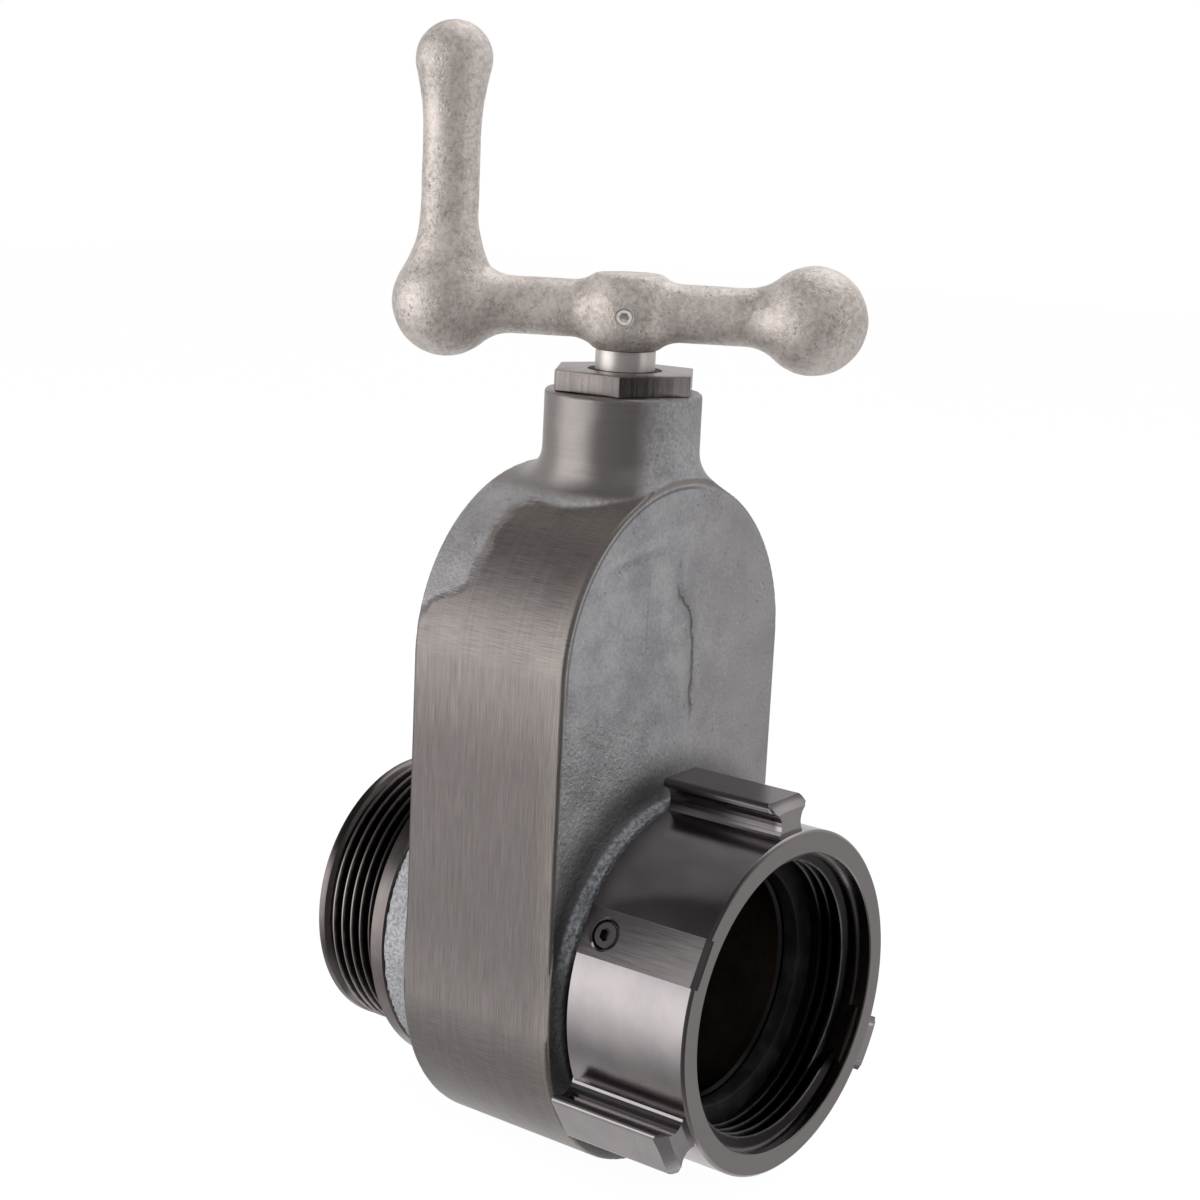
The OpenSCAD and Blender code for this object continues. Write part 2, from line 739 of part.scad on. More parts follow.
// Outline of both arms, turned about their axis: y runs to the counterweight
module arm_outline() {
    translate([0, -elbow_reach]) square([arm_r, elbow_reach + weight_reach]);
    swelling(arm_r, weight_r, weight_reach, arm_fillet, 1);
    swelling(arm_r, elbow_r, -elbow_reach, arm_fillet, -1);
    swelling(arm_r, hub_r, 0, hub_fillet, 1);
    swelling(arm_r, hub_r, 0, hub_fillet, -1);
}

// The crank before its screw hole is drilled
module crank_blank() {
    in_crank() difference() {
        union() {
            rotate([90, 0, 90]) rotate_extrude() arm_outline();
            translate([-elbow_reach, 0, 0]) rotate_extrude() {
                square([grip_r, grip_h]);
                swelling(grip_r, knob_r, grip_h, grip_swell, 1);
                swelling(grip_r, elbow_r, 0, grip_foot, -1);
            }
        }
        translate([0, 0, hub_h - arm_rise]) cylinder(r = hub_r, h = hub_r);
        translate([0, 0, -arm_rise - hub_r]) cylinder(r = hub_r, h = hub_r);
        translate([0, 0, -arm_rise - past])
            cylinder(r = spigot_r + fix_gap, h = spigot_top - shoulder_z + past + fix_gap);
    }
}

module crank_handle() {
    color(crank_colour) difference() {
        crank_blank();
        at_set_screw() cylinder(r = set_screw_r + fix_gap, h = hub_r + past);
    }
}

module handle_set_screw() {
    tip = spigot_r - spigot_flat;
    len = hub_r - 0.9 - tip;
    color(steel_colour) at_set_screw() translate([0, 0, tip]) difference() {
        cylinder(r = set_screw_r, h = len);
        translate([0, 0, len - set_screw_r]) cylinder(r = set_screw_socket / sqrt(3), h = len, $fn = 6);
    }
}

valve_body();
tailpiece();
tailpiece_seal();
inlet_seat();
swivel_ring();
ball_plug();
hydrant_gasket();
swivel_balls();
outlet_adapter();
adapter_seal();
outlet_seat();
gate();
gate_nut();
gate_nut_screw();
stem();
lower_thrust_washer();
upper_thrust_washer();
bonnet_nut();
bonnet_seal();
lower_stem_seal();
upper_stem_seal();
stem_wiper();
crank_handle();
handle_set_screw();
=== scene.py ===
import logging
import math
from dataclasses import dataclass
from enum import Enum
from typing import Callable, Iterable, Sequence, Union

import bmesh
import bpy
import numpy as np
from mathutils import Matrix, Vector


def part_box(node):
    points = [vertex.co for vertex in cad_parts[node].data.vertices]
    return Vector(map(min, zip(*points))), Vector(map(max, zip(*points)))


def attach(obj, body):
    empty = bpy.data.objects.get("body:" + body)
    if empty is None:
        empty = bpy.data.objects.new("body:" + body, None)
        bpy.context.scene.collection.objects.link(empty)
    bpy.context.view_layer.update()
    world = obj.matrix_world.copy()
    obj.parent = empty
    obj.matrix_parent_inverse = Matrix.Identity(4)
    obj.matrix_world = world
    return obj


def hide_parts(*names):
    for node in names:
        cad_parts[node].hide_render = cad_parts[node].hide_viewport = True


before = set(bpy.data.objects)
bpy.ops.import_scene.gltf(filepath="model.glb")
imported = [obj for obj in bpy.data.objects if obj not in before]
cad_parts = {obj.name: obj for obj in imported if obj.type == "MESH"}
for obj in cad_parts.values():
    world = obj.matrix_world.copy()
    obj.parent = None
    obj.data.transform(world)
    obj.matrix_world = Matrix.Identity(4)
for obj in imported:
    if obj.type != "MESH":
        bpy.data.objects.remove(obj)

log = logging.getLogger("gate_valve")
MM = 0.001
Point = tuple[float, float]
Triple = tuple[float, float, float]
Colour = tuple[float, float, float]
Field = Callable[[np.ndarray, np.ndarray, np.ndarray], np.ndarray]
Amount = Union["Val", float]
Tint = Union["Val", Colour]

# where the stem stands along the waterway, and the pitch of both hose threads, in mm
STEM_Y = 45.0
PITCH = 3.3867
# turn an outline's own X, Y and Z into the part's X, Z and Y, and into its Y, Z and X
UPRIGHT = Matrix(((1, 0, 0, 0), (0, 0, 1, 0), (0, 1, 0, 0), (0, 0, 0, 1)))
ALONG = Matrix(((0, 0, 1, 0), (1, 0, 0, 0), (0, 1, 0, 0), (0, 0, 0, 1)))


class Body(Enum):
    """The moving bodies of the frame."""

    FIXED = "body"
    SWIVEL = "swivel"
    BALLS = "ball_ring"
    CRANK = "crank"


class Cut(Enum):
    """How two solids are joined."""

    JOIN = "UNION"
    AWAY = "DIFFERENCE"
    SHARED = "INTERSECT"


class Axis(Enum):
    """The line that a profile is turned about."""

    WATERWAY = 1
    STEM = 2


# Shader maths


class Val:
    """A shader value that takes part in sums."""

    def __init__(self, shader: "Shader", socket: bpy.types.NodeSocket) -> None:
        """Args: shader: the material it belongs to. socket: the output it stands for."""
        self.shader, self.socket = shader, socket

    def _do(self, kind: str, a: Amount, b: Amount) -> "Val":
        """Returns: what one Math node makes of a and b."""
        return self.shader.maths(kind, a, b)

    def __add__(self, other: Amount) -> "Val":
        """Returns: self + other."""
        return self._do("ADD", self, other)

    def __radd__(self, other: Amount) -> "Val":
        """Returns: other + self."""
        return self._do("ADD", other, self)

    def __sub__(self, other: Amount) -> "Val":
        """Returns: self - other."""
        return self._do("SUBTRACT", self, other)

    def __rsub__(self, other: Amount) -> "Val":
        """Returns: other - self."""
        return self._do("SUBTRACT", other, self)

    def __mul__(self, other: Amount) -> "Val":
        """Returns: self * other."""
        return self._do("MULTIPLY", self, other)

    def __rmul__(self, other: Amount) -> "Val":
        """Returns: other * self."""
        return self._do("MULTIPLY", other, self)

    def __truediv__(self, other: Amount) -> "Val":
        """Returns: self / other."""
        return self._do("DIVIDE", self, other)

    def __rtruediv__(self, other: Amount) -> "Val":
        """Returns: other / self."""
        return self._do("DIVIDE", other, self)

    def __abs__(self) -> "Val":
        """Returns: the size without its sign."""
        return self._do("ABSOLUTE", self, 0.0)

    def root(self) -> "Val":
        """Returns: the square root."""
        return self._do("SQRT", self, 0.0)

    def least(self, other: Amount) -> "Val":
        """Returns: the lesser of the two."""
        return self._do("MINIMUM", self, other)

    def most(self, other: Amount) -> "Val":
        """Returns: the greater of the two."""
        return self._do("MAXIMUM", self, other)

    def step(self, lo: float, hi: float) -> "Val":
        """A soft step.

        Args: lo, hi: where it starts and ends.
        Returns: 0 below lo, 1 above hi."""
        node = self.shader.node("ShaderNodeMapRange", {"interpolation_type": "SMOOTHSTEP"},
                                {"Value": self, "From Min": lo, "From Max": hi})
        return Val(self.shader, node.outputs["Result"])

    def fall(self, lo: float, hi: float) -> "Val":
        """Returns: 1 below lo, 0 above hi."""
        return 1.0 - self.step(lo, hi)

    def near(self, middle: float, lo: float, hi: float) -> "Val":
        """Returns: 1 within lo of the middle, 0 beyond hi of it."""
        return abs(self - middle).fall(lo, hi)


@dataclass(frozen=True)
class Place:
    """A point of a surface in mm, whole and in its three parts."""

    p: Val
    x: Val
    y: Val
    z: Val

    def out(self, axis: Axis) -> Val:
        """Returns: the distance from the middle line of the waterway or the stem."""
        other = self.z if axis is Axis.WATERWAY else self.y - STEM_Y
        return (self.x * self.x + other * other).root()


class Shader:
    """A node material that is built up by plain calls."""

    def __init__(self, name: str, world: bool = False) -> None:
        """Args: name: the material's name. world: builds the world's nodes in place of a material."""
        self.data = bpy.data.worlds.new(name) if world else bpy.data.materials.new(name)
        self.data.use_nodes = True
        self.tree = self.data.node_tree
        self.tree.nodes.clear()

    def node(self, kind: str, settings: dict | None = None, inputs: dict | None = None) -> bpy.types.Node:
        """Adds one node.

        Args: kind: the node's type. settings: its properties. inputs: its sockets by name or number.
        Returns: the node."""
        node = self.tree.nodes.new(kind)
        for key, value in (settings or {}).items():
            setattr(node, key, value)
        for key, value in (inputs or {}).items():
            self.feed(node.inputs[key], value)
        return node

    def feed(self, socket: bpy.types.NodeSocket, value: Amount | Tint | bpy.types.NodeSocket) -> None:
        """Fills an input.

        Args: socket: the input. value: a Val or an output to link, or a plain value to set."""
        if isinstance(value, (Val, bpy.types.NodeSocket)):
            self.tree.links.new(getattr(value, "socket", value), socket)
        elif socket.type == "RGBA":
            socket.default_value = (*value, 1.0)
        else:
            socket.default_value = value

    def maths(self, kind: str, a: Amount, b: Amount) -> Val:
        """Returns: what the Math node of that kind makes of a and b."""
        return Val(self, self.node("ShaderNodeMath", {"operation": kind}, {0: a, 1: b}).outputs[0])

    def parts(self, vector: Val) -> list[Val]:
        """Returns: the three parts of a vector."""
        split = self.node("ShaderNodeSeparateXYZ", None, {"Vector": vector})
        return [Val(self, output) for output in split.outputs]

    def place(self) -> Place:
        """Returns: the point that is shaded, in mm."""
        raw = Val(self, self.node("ShaderNodeTexCoord").outputs["Object"])
        node = self.node("ShaderNodeVectorMath", {"operation": "SCALE"}, {"Vector": raw, "Scale": 1 / MM})
        p = Val(self, node.outputs[0])
        return Place(p, *self.parts(p))

    def vector(self, x: Amount, y: Amount, z: Amount) -> Val:
        """Returns: the vector with those three parts."""
        return Val(self, self.node("ShaderNodeCombineXYZ", None, {0: x, 1: y, 2: z}).outputs[0])

    def noise(self, where: Val, size: float, detail: float = 2.0, rough: float = 0.5) -> Val:
        """Smooth noise.

        Args: where: the coordinates. size: mm of one lump. detail, rough: the finer octaves.
        Returns: a value about 0.5."""
        node = self.node("ShaderNodeTexNoise", None, {
            "Vector": where, "Scale": 1.0 / size, "Detail": detail, "Roughness": rough})
        return Val(self, node.outputs["Fac"])

    def dots(self, where: Val, size: float, lo: float, hi: float) -> Val:
        """Scattered dots.

        Args: where: the coordinates. size: mm of one cell. lo, hi: the dot's radii, as shares of it.
        Returns: 1 in the middle of a dot, 0 between them."""
        node = self.node("ShaderNodeTexVoronoi", {"feature": "F1"}, {"Vector": where, "Scale": 1.0 / size})
        return Val(self, node.outputs["Distance"]).fall(lo, hi)

    def blend(self, part: Amount, a: Tint, b: Tint) -> Val:
        """Returns: the colour a with that part of it turned into b."""
        node = self.node("ShaderNodeMix", {"data_type": "RGBA"}, {0: part, 6: a, 7: b})
        return Val(self, node.outputs[2])

    def bump(self, height: Val, depth: float, below: Val | None = None) -> Val:
        """Returns: the normal of a relief, depth mm high, on the bump below if there is one."""
        given = {"Height": height, "Distance": depth * MM}
        if below is not None:
            given["Normal"] = below
        return Val(self, self.node("ShaderNodeBump", None, given).outputs[0])

    def surface(self, colour: Tint, metal: Amount, rough: Amount, normal: Val) -> bpy.types.Material:
        """Closes a material.

        Args: colour, metal, rough, normal: what the surface shader takes.
        Returns: the finished material."""
        shader = self.node("ShaderNodeBsdfPrincipled", None, {
            "Base Color": colour, "Metallic": metal, "Roughness": rough, "Normal": normal})
        return self.close(shader)

    def close(self, shader: bpy.types.Node, kind: str = "ShaderNodeOutputMaterial") -> bpy.types.ID:
        """Returns: the material or world, with the shader as what it shows."""
        self.node(kind, None, {"Surface": shader.outputs[0]})
        return self.data


# Finishes


@dataclass(frozen=True)
class CastBodyFinish:
    """Sand cast aluminium whose rim has been belt sanded."""

    half_w: float = 47.65
    low: float = -7.8
    high: float = 84.65
    front: float = 23.3
    rear: float = 73.7
    cast_dark: Colour = (0.285, 0.278, 0.287)
    cast_light: Colour = (0.43, 0.42, 0.432)
    cast_brown: Colour = (0.325, 0.302, 0.302)
    cast_pit: Colour = (0.12, 0.12, 0.125)
    painted_cast_glint: Colour = (0.75, 0.76, 0.8)
    neck_glint: Colour = (0.8, 0.79, 0.8)
    neck_pit: Colour = (0.2, 0.195, 0.195)
    hub_pale: Colour = (0.62, 0.64, 0.68)
    painted_hub_sheen: Colour = (0.56, 0.585, 0.63)
    ring_shade: Colour = (0.022, 0.022, 0.023)
    fold_shade: Colour = (0.12, 0.118, 0.12)
    stain_and_crease_shade: Colour = (0.1, 0.098, 0.1)
    sand_dark: Colour = (0.19, 0.168, 0.162)
    sand_light: Colour = (0.37, 0.335, 0.322)
    sand_low: Colour = (0.06, 0.05, 0.048)
    sand_gold: Colour = (0.52, 0.47, 0.38)
    edge_line: Colour = (0.06, 0.055, 0.055)
    lathe_dark: Colour = (0.27, 0.247, 0.237)
    lathe_light: Colour = (0.42, 0.385, 0.37)
    cast_rough: float = 0.48
    bare_rough: float = 0.32

    def build(self) -> bpy.types.Material:
        """Returns: the material."""
        s = Shader("cast_body_finish")
        at = s.place()
        x, y, z = at.x, at.y, at.z
        rim, grain = self.belt(s, at)
        ragged = (s.noise(at.p, 8.0) - 0.5) * 7.0
        sanded = rim.step(-1.1, -0.4) * rim.fall(0.3, 0.9) * (1.0 - self.missed(at, grain, ragged))
        sanded = sanded * y.step(self.front - 0.4, self.front + 0.1)
        sanded = sanded * y.fall(self.rear - 0.1, self.rear + 0.4)
        peel = s.noise(at.p, 1.1, 3.0, 0.6)
        coarse = s.noise(at.p, 9.0)
        patchy = s.noise(at.p, 7.0)
        rugged = s.noise(at.p, 1.3, 3.0, 0.7)
        cast = self.skin(s, at, peel, coarse, patchy)
        cast = self.neck_skin(s, at, cast, rugged)
        cast = self.hubs(s, at, cast, peel, coarse)
        cast, line = self.flow_marks(s, at, cast, patchy, rugged)
        colour = s.blend(sanded, cast, self.sand(s, at, grain))
        # a thin dark line just inside the front face's edge, round its left shoulder
        shoulder = z.step(66.0, 90.0) * x.fall(2.0, 12.0) * y.fall(self.front + 0.4, self.front + 1.0)
        colour = s.blend(rim.near(-1.7, 0.15, 0.6) * shoulder * 0.6, colour, self.edge_line)
        # the left half of the neck is turned smooth
        lathe = (y * 0.773 - x * 0.634 - 30.4 + ragged * 0.5).step(-3.5, 2.5)
        lathe = lathe * (z + ragged * 0.2).step(126.5, 130.0)
        rings = s.noise(s.vector(at.out(Axis.STEM) * 3.0, z * 4.5, 5.0), 1.0, 3.0, 0.65)
        colour = s.blend(lathe, colour, s.blend(rings, self.lathe_dark, self.lathe_light))
        bare = sanded.most(lathe)
        left = 1.0 - bare
        rough = self.cast_rough + (self.bare_rough - self.cast_rough) * bare + (peel - 0.5) * 0.12
        # the skin is roughest on the rear hub and at the foot of the front face's left half
        hide = x.fall(-32.0, -4.0) * z.fall(60.0, 80.0) * y.fall(self.front + 2.0, self.front + 4.0)
        relief = peel * left * (1.0 + self.on_rear_hub(at) + hide * 1.6) + coarse * 0.3 - line * 0.8
        fine = s.noise(at.p, 0.6, 2.0, 0.6) * left + grain * sanded * 0.35 + rings * lathe * 0.3
        return s.surface(colour, 0.55 + bare * 0.3, rough, s.bump(fine, 0.07, s.bump(relief, 0.3)))

    def belt(self, s: Shader, at: Place) -> tuple[Val, Val]:
        """The marks of the belt: upright on the flat side, across on the round ends.

        Args: s: the material's nodes. at: the place.
        Returns: the distance out from the rim, and the grain from 0 to 1."""
        mid = at.z.least(self.high).most(self.low)
        up = at.z - mid
        rim = (at.x * at.x + up * up).root() - self.half_w
        top, foot = at.z.step(self.high - 2.0, self.high + 7.0), at.z.fall(self.low - 7.0, self.low + 2.0)
        round_end = top.most(foot)
        along = s.maths("ARCTAN2", up, abs(at.x)) * self.half_w + mid
        upright = s.noise(s.vector(at.y * 4.6, along * 0.09, at.x * 0.02), 1.0, 4.0, 0.66)
        across = s.noise(s.vector(at.y * 0.12, along * 4.2, 9.0), 1.0, 4.0, 0.66)
        wide = s.noise(s.vector(at.y * 0.75, along * 0.05, 3.0), 1.0)
        grain = upright + (across - upright) * round_end
        return rim, (grain * 0.8 + wide * 0.2).step(0.25, 0.75)

    @staticmethod
    def missed(at: Place, grain: Val, ragged: Val) -> Val:
        """Returns: 1 on the part of the left shoulder that the belt missed."""
        edge = 59.5 + at.z.fall(95.0, 107.0) * 14.5 - at.z.step(121.0, 129.0) * 6.0
        off = at.y - edge + ragged + (grain - 0.5) * 3.5
        return off.step(-2.2, 2.2) * at.x.fall(-12.0, -5.0) * at.z.step(92.0, 98.0)

    def skin(self, s: Shader, at: Place, peel: Val, coarse: Val, patchy: Val) -> Val:
        """Returns: the cast skin's colour: a fine peel, pits and painted glints, browner towards the right.
        """
        cast = s.blend((peel * 0.5 + coarse * 0.5).step(0.3, 0.7), self.cast_dark, self.cast_light)
        cast = s.blend(at.x.step(-6.0, 38.0) * 0.7, cast, self.cast_brown)
        pits = s.dots(at.p, 2.6, 0.08, 0.2) * patchy.step(0.46, 0.58)
        # painted glints: scattered dots of painted highlight on the skin
        glint_dots = s.dots(at.p, 1.7, 0.08, 0.2) * patchy.step(0.5, 0.62)
        cast = s.blend(pits * 0.55, cast, self.cast_pit)
        return s.blend(glint_dots * 0.4, cast, self.painted_cast_glint)

    def neck_skin(self, s: Shader, at: Place, cast: Val, rugged: Val) -> Val:
        """Returns: the cast colour with glints at the neck's foot and pits on the neck."""
        # painted highlight: glints along the front of the neck's foot
        foot = at.z.step(121.0, 124.5) * at.z.fall(128.0, 132.0) * at.x.near(-16.0, 6.0, 12.0)
        foot = foot * at.y.step(self.front + 2.5, self.front + 4.0) * at.y.fall(34.0, 40.0)
        cast = s.blend(foot * rugged.step(0.42, 0.6) * 0.55, cast, self.neck_glint)
        return s.blend(at.z.step(128.0, 138.0) * rugged.fall(0.36, 0.58) * 0.5, cast, self.neck_pit)

    def on_rear_hub(self, at: Place) -> Val:
        """Returns: 1 on the hub behind the body."""
        return at.y.step(self.rear - 0.5, self.rear + 0.8)

    def hubs(self, s: Shader, at: Place, cast: Val, peel: Val, coarse: Val) -> Val:
        """Returns: the cast colour with the rear hub pale and rough, a painted bluish highlight on the
            front hub's upper flank, and the ring's painted shade on the front.
        """
        pale = self.on_rear_hub(at) * (0.2 + peel.step(0.42, 0.58) * 0.55)
        cast = s.blend(pale, cast, self.hub_pale)
        shade = (at.out(Axis.WATERWAY) - at.z * 0.06).fall(48.0, 60.0)
        shade = shade * at.y.fall(self.front + 1.5, self.front + 3.5)
        cast = s.blend(shade * (0.95 - at.z.step(5.0, 50.0) * 0.3), cast, self.ring_shade)
        # painted highlight: a bluish sheen along the upper part of the front hub's flank
        sheen_mask = at.y.fall(self.front - 1.4, self.front - 0.4) * (at.z + coarse * 8.0).step(8.0, 30.0)
        return s.blend(sheen_mask * (0.2 + peel.step(0.35, 0.7) * 0.55), cast, self.painted_hub_sheen)

    def flow_marks(self, s: Shader, at: Place, cast: Val, patchy: Val, rugged: Val) -> tuple[Val, Val]:
        """The creases that run down the front face and the fold at their top, with painted shade along them.

        Args: s: the material's nodes. at: the place. cast: the colour. patchy, rugged: noises.
        Returns: the colour with the marks, and the creases' lines from 0 to 1."""
        face = at.z.step(64.0, 72.0) * at.z.fall(112.0, 117.0) * at.y.fall(self.front + 2.0, self.front + 4.0)
        across = crease_way(at.x, at.z)
        line = (across + (s.noise(at.p, 5.0, 3.0) - 0.5) * 4.0).near(0.0, 0.1, 0.9) * patchy.step(0.3, 0.5)
        second = at.x.near(-13.3, 0.1, 0.6) * at.z.step(86.0, 90.0) * at.z.fall(107.0, 110.0)
        line = line.most(second * 0.3) * face
        # painted shade in a band just below the fold's ridge, broken up by noise
        fold = fold_way(at.x, at.z).near(0.0, 0.5, 2.4) * at.x.near(-18.0, 9.0, 14.0)
        cast = s.blend(fold * rugged.step(0.44, 0.58) * face * 0.5, cast, self.fold_shade)
        stain = s.noise(at.p, 22.0).step(0.42, 0.66) * 0.16
        # painted shade: the crease lines darkened, and a soft painted shadow down the crease's left side; the
        # stains are the skin's own
        soft = across.near(-0.8, 0.5, 4.5) * face * 0.2
        return s.blend(stain + line * 0.5 + soft, cast, self.stain_and_crease_shade), line

    def sand(self, s: Shader, at: Place, grain: Val) -> Val:
        """Returns: the sanded rim's colour, darkest at the middle and golden at the front edge."""
        sand = s.blend(grain, self.sand_dark, self.sand_light)
        sand = s.blend(at.z.fall(58.0, 86.0) * 0.42 - at.z.fall(-12.0, 18.0) * 0.22, sand, self.sand_low)
        return s.blend(at.y.fall(self.front + 1.0, self.front + 8.0) * grain * 0.25, sand, self.sand_gold)


@dataclass(frozen=True)
class TurnedFinish:
    """Turned aluminium or bronze with a satin film; the marks run round the waterway."""

    name: str
    colour: Colour
    worn: Colour
    rough: float = 0.3
    metal: float = 1.0
    marks: float = 0.012
    mottle: float = 0.12

    def build(self) -> bpy.types.Material:
        """Returns: the material."""
        s = Shader(self.name)
        at = s.place()
        fine = s.noise(s.vector(at.out(Axis.WATERWAY) * 5.0, at.y * 5.0, 2.0), 1.0, 3.0, 0.65)
        cloud = s.noise(at.p, 11.0, 3.0, 0.55)
        colour = s.blend((cloud * 0.6 + fine * 0.4).step(0.35, 0.68) * 0.8, self.colour, self.worn)
        rough = self.rough + (cloud - 0.5) * self.mottle + (fine - 0.5) * 0.08
        normal = s.bump(s.noise(at.p, 0.5, 2.0, 0.6), self.marks * 0.7, s.bump(fine, self.marks))
        return s.surface(colour, self.metal, rough, normal)


@dataclass(frozen=True)
class RingFinish:
    """The swivel ring: dark satin film outside, brown-grey on the turned face."""

    front: float = -18.6
    film: Colour = (0.38, 0.35, 0.36)
    bright: Colour = (0.54, 0.495, 0.475)
    face: Colour = (0.33, 0.304, 0.297)
    bore_shade: Colour = (0.07, 0.063, 0.063)
    crest_dark_reflection: Colour = (0.07, 0.063, 0.07)
    milled_dark: Colour = (0.15, 0.135, 0.142)
    milled_light: Colour = (0.58, 0.53, 0.525)
    flat_dist: float = 45.6
    flat_way: Point = (-0.8838, 0.4679)

    def build(self) -> bpy.types.Material:
        """Returns: the material."""
        s = Shader("swivel_ring_finish")
        at = s.place()
        out = at.out(Axis.WATERWAY)
        fine = s.noise(s.vector(out * 4.0, at.y * 4.0, 2.0), 1.0, 3.0, 0.65)
        cloud = s.noise(at.p, 12.0, 3.0, 0.55)
        on_face = at.y.fall(self.front + 0.15, self.front + 0.5)
        inside = out.fall(39.6, 40.1)
        colour = s.blend((cloud * 0.6 + fine * 0.4).step(0.35, 0.68) * 0.5, self.film, self.bright)
        colour = s.blend(on_face * 0.85, colour, self.face)
        # the milled flat: brushed along the waterway, lighter towards its lower front corner
        side, up = self.flat_way
        flat = (at.x * side + at.z * up).near(self.flat_dist, 0.05, 0.12) * out.fall(46.25, 46.42)
        down = at.z * side - at.x * up
        brush = s.noise(s.vector(at.x * 2.2, at.y * 0.1, at.z * 2.2), 1.0, 3.0, 0.6)
        tone = (down * 0.05 - at.y * 0.028 + (brush - 0.5) * 0.9).step(-0.5, 1.0)
        milled = s.blend(tone, self.milled_dark, self.milled_light)
        colour = s.blend(flat * (1.0 - on_face), colour, milled)
        # painted shade over the ring's bore and the wall behind its thread
        colour = s.blend(inside * 0.9, colour, self.bore_shade)
        # a painted dark reflection on the upper lug's crest
        crest = at.z.step(46.8, 48.2) * at.y.step(self.front + 2.8, self.front + 4.4)
        colour = s.blend(crest * 0.75, colour, self.crest_dark_reflection)
        rough = 0.2 + (cloud - 0.5) * 0.08 + on_face * 0.1 + inside * 0.1 + flat * 0.12
        normal = s.bump(s.noise(at.p, 0.6, 2.0, 0.6), 0.008, s.bump(fine, 0.01))
        return s.surface(colour, 1.0, rough, normal)


@dataclass(frozen=True)
class ThreadFinish:
    """A cut thread: painted highlight on the crest, painted shade in the valley; the highlight comes up
    between two places.
    """

    name: str
    crest: float
    root: float
    # light is the painted highlight on the crest, dark the painted shade in the valley
    light: Colour
    dark: Colour = (0.03, 0.027, 0.027)
    highlight_rise: Point = (-99.0, -98.0)

    def build(self) -> bpy.types.Material:
        """Returns: the material."""
        s = Shader(self.name)
        at = s.place()
        out = at.out(Axis.WATERWAY)
        height = (out - self.root) / (self.crest - self.root)
        part = (height + (s.noise(at.p, 3.0, 3.0) - 0.5) * 0.3).step(0.72, 0.98)
        # the painted highlight stays dim before the first place and is full beyond the second
        part = part * (0.15 + at.y.step(*self.highlight_rise) * 0.85)
        fine = s.noise(s.vector(out * 6.0, at.y * 6.0, at.x * 0.2), 1.0, 3.0)
        colour = s.blend(part, self.dark, self.light)
        return s.surface(colour, 1.0, 0.3 + (fine - 0.5) * 0.15, s.bump(fine, 0.01))


@dataclass(frozen=True)
class CastCrankFinish:
    """Blasted cast aluminium of the crank."""

    hollow: Colour = (0.42, 0.375, 0.345)
    main: Colour = (0.8, 0.725, 0.68)
    pit: Colour = (0.3, 0.26, 0.24)
    glint: Colour = (0.93, 0.89, 0.87)

    def build(self) -> bpy.types.Material:
        """Returns: the material."""
        s = Shader("cast_handle_finish")
        p = s.place().p
        grit = s.noise(p, 1.45, 5.0, 0.78)
        cloud = s.noise(p, 9.0, 3.0, 0.6)
        pits = s.dots(p, 1.5, 0.12, 0.36) * s.noise(p, 5.0).step(0.5, 0.62)
        # painted glints: fine flecks of painted highlight
        sparks = s.noise(p, 0.7, 2.0, 0.7).step(0.6, 0.68)
        colour = s.blend((grit * 0.65 + cloud * 0.35).step(0.33, 0.61), self.hollow, self.main)
        colour = s.blend(pits * 0.45, colour, self.pit)
        colour = s.blend(sparks * 0.5, colour, self.glint)
        rough = 0.35 + (cloud - 0.5) * 0.2 + pits * 0.12 - sparks * 0.08
        normal = s.bump(s.noise(p, 0.7, 3.0, 0.65), 0.13, s.bump(grit - pits * 0.5, 0.2))
        return s.surface(colour, 0.66, rough, normal)


@dataclass(frozen=True)
class RubberFinish:
    """Black rubber with a dusty bloom."""

    black: Colour = (0.006, 0.006, 0.0065)
    bloom: Colour = (0.016, 0.0155, 0.015)

    def build(self) -> bpy.types.Material:
        """Returns: the material."""
        s = Shader("rubber_finish")
        p = s.place().p
        dust = s.noise(p, 6.0, 4.0, 0.6)
        colour = s.blend(dust.step(0.4, 0.7), self.black, self.bloom)
        return s.surface(colour, 0.0, 0.62 + (dust - 0.5) * 0.3, s.bump(s.noise(p, 0.6), 0.03))


@dataclass(frozen=True)
class NutFinish:
    """The gland nut: turned top, flats with upright drawing marks."""

    dark: Colour = (0.2, 0.175, 0.168)
    light: Colour = (0.38, 0.34, 0.325)
    top_dark: Colour = (0.28, 0.25, 0.238)
    top_light: Colour = (0.4, 0.36, 0.342)
    speck: Colour = (0.9, 0.9, 0.9)
    top: float = 159.45

    def build(self) -> bpy.types.Material:
        """Returns: the material."""
        s = Shader("gland_nut_finish")
        at = s.place()
        streak = s.noise(s.vector(at.x * 1.1, at.y * 1.1, at.z * 0.06), 1.0, 3.0, 0.6)
        rings = s.noise(s.vector(at.out(Axis.STEM) * 4.0, 0.0, 1.0), 1.0, 3.0, 0.6)
        on_top = at.z.step(self.top - 0.35, self.top - 0.1)
        flats = s.blend(streak.step(0.2, 0.85), self.dark, self.light)
        flats = s.blend(s.dots(at.p, 1.3, 0.07, 0.14) * 0.3, flats, self.speck)
        colour = s.blend(on_top, flats, s.blend(rings.step(0.3, 0.7), self.top_dark, self.top_light))
        grain = streak * (1.0 - on_top) + rings * on_top
        return s.surface(colour, 1.0, 0.3 + (streak - 0.5) * 0.2, s.bump(grain, 0.03))


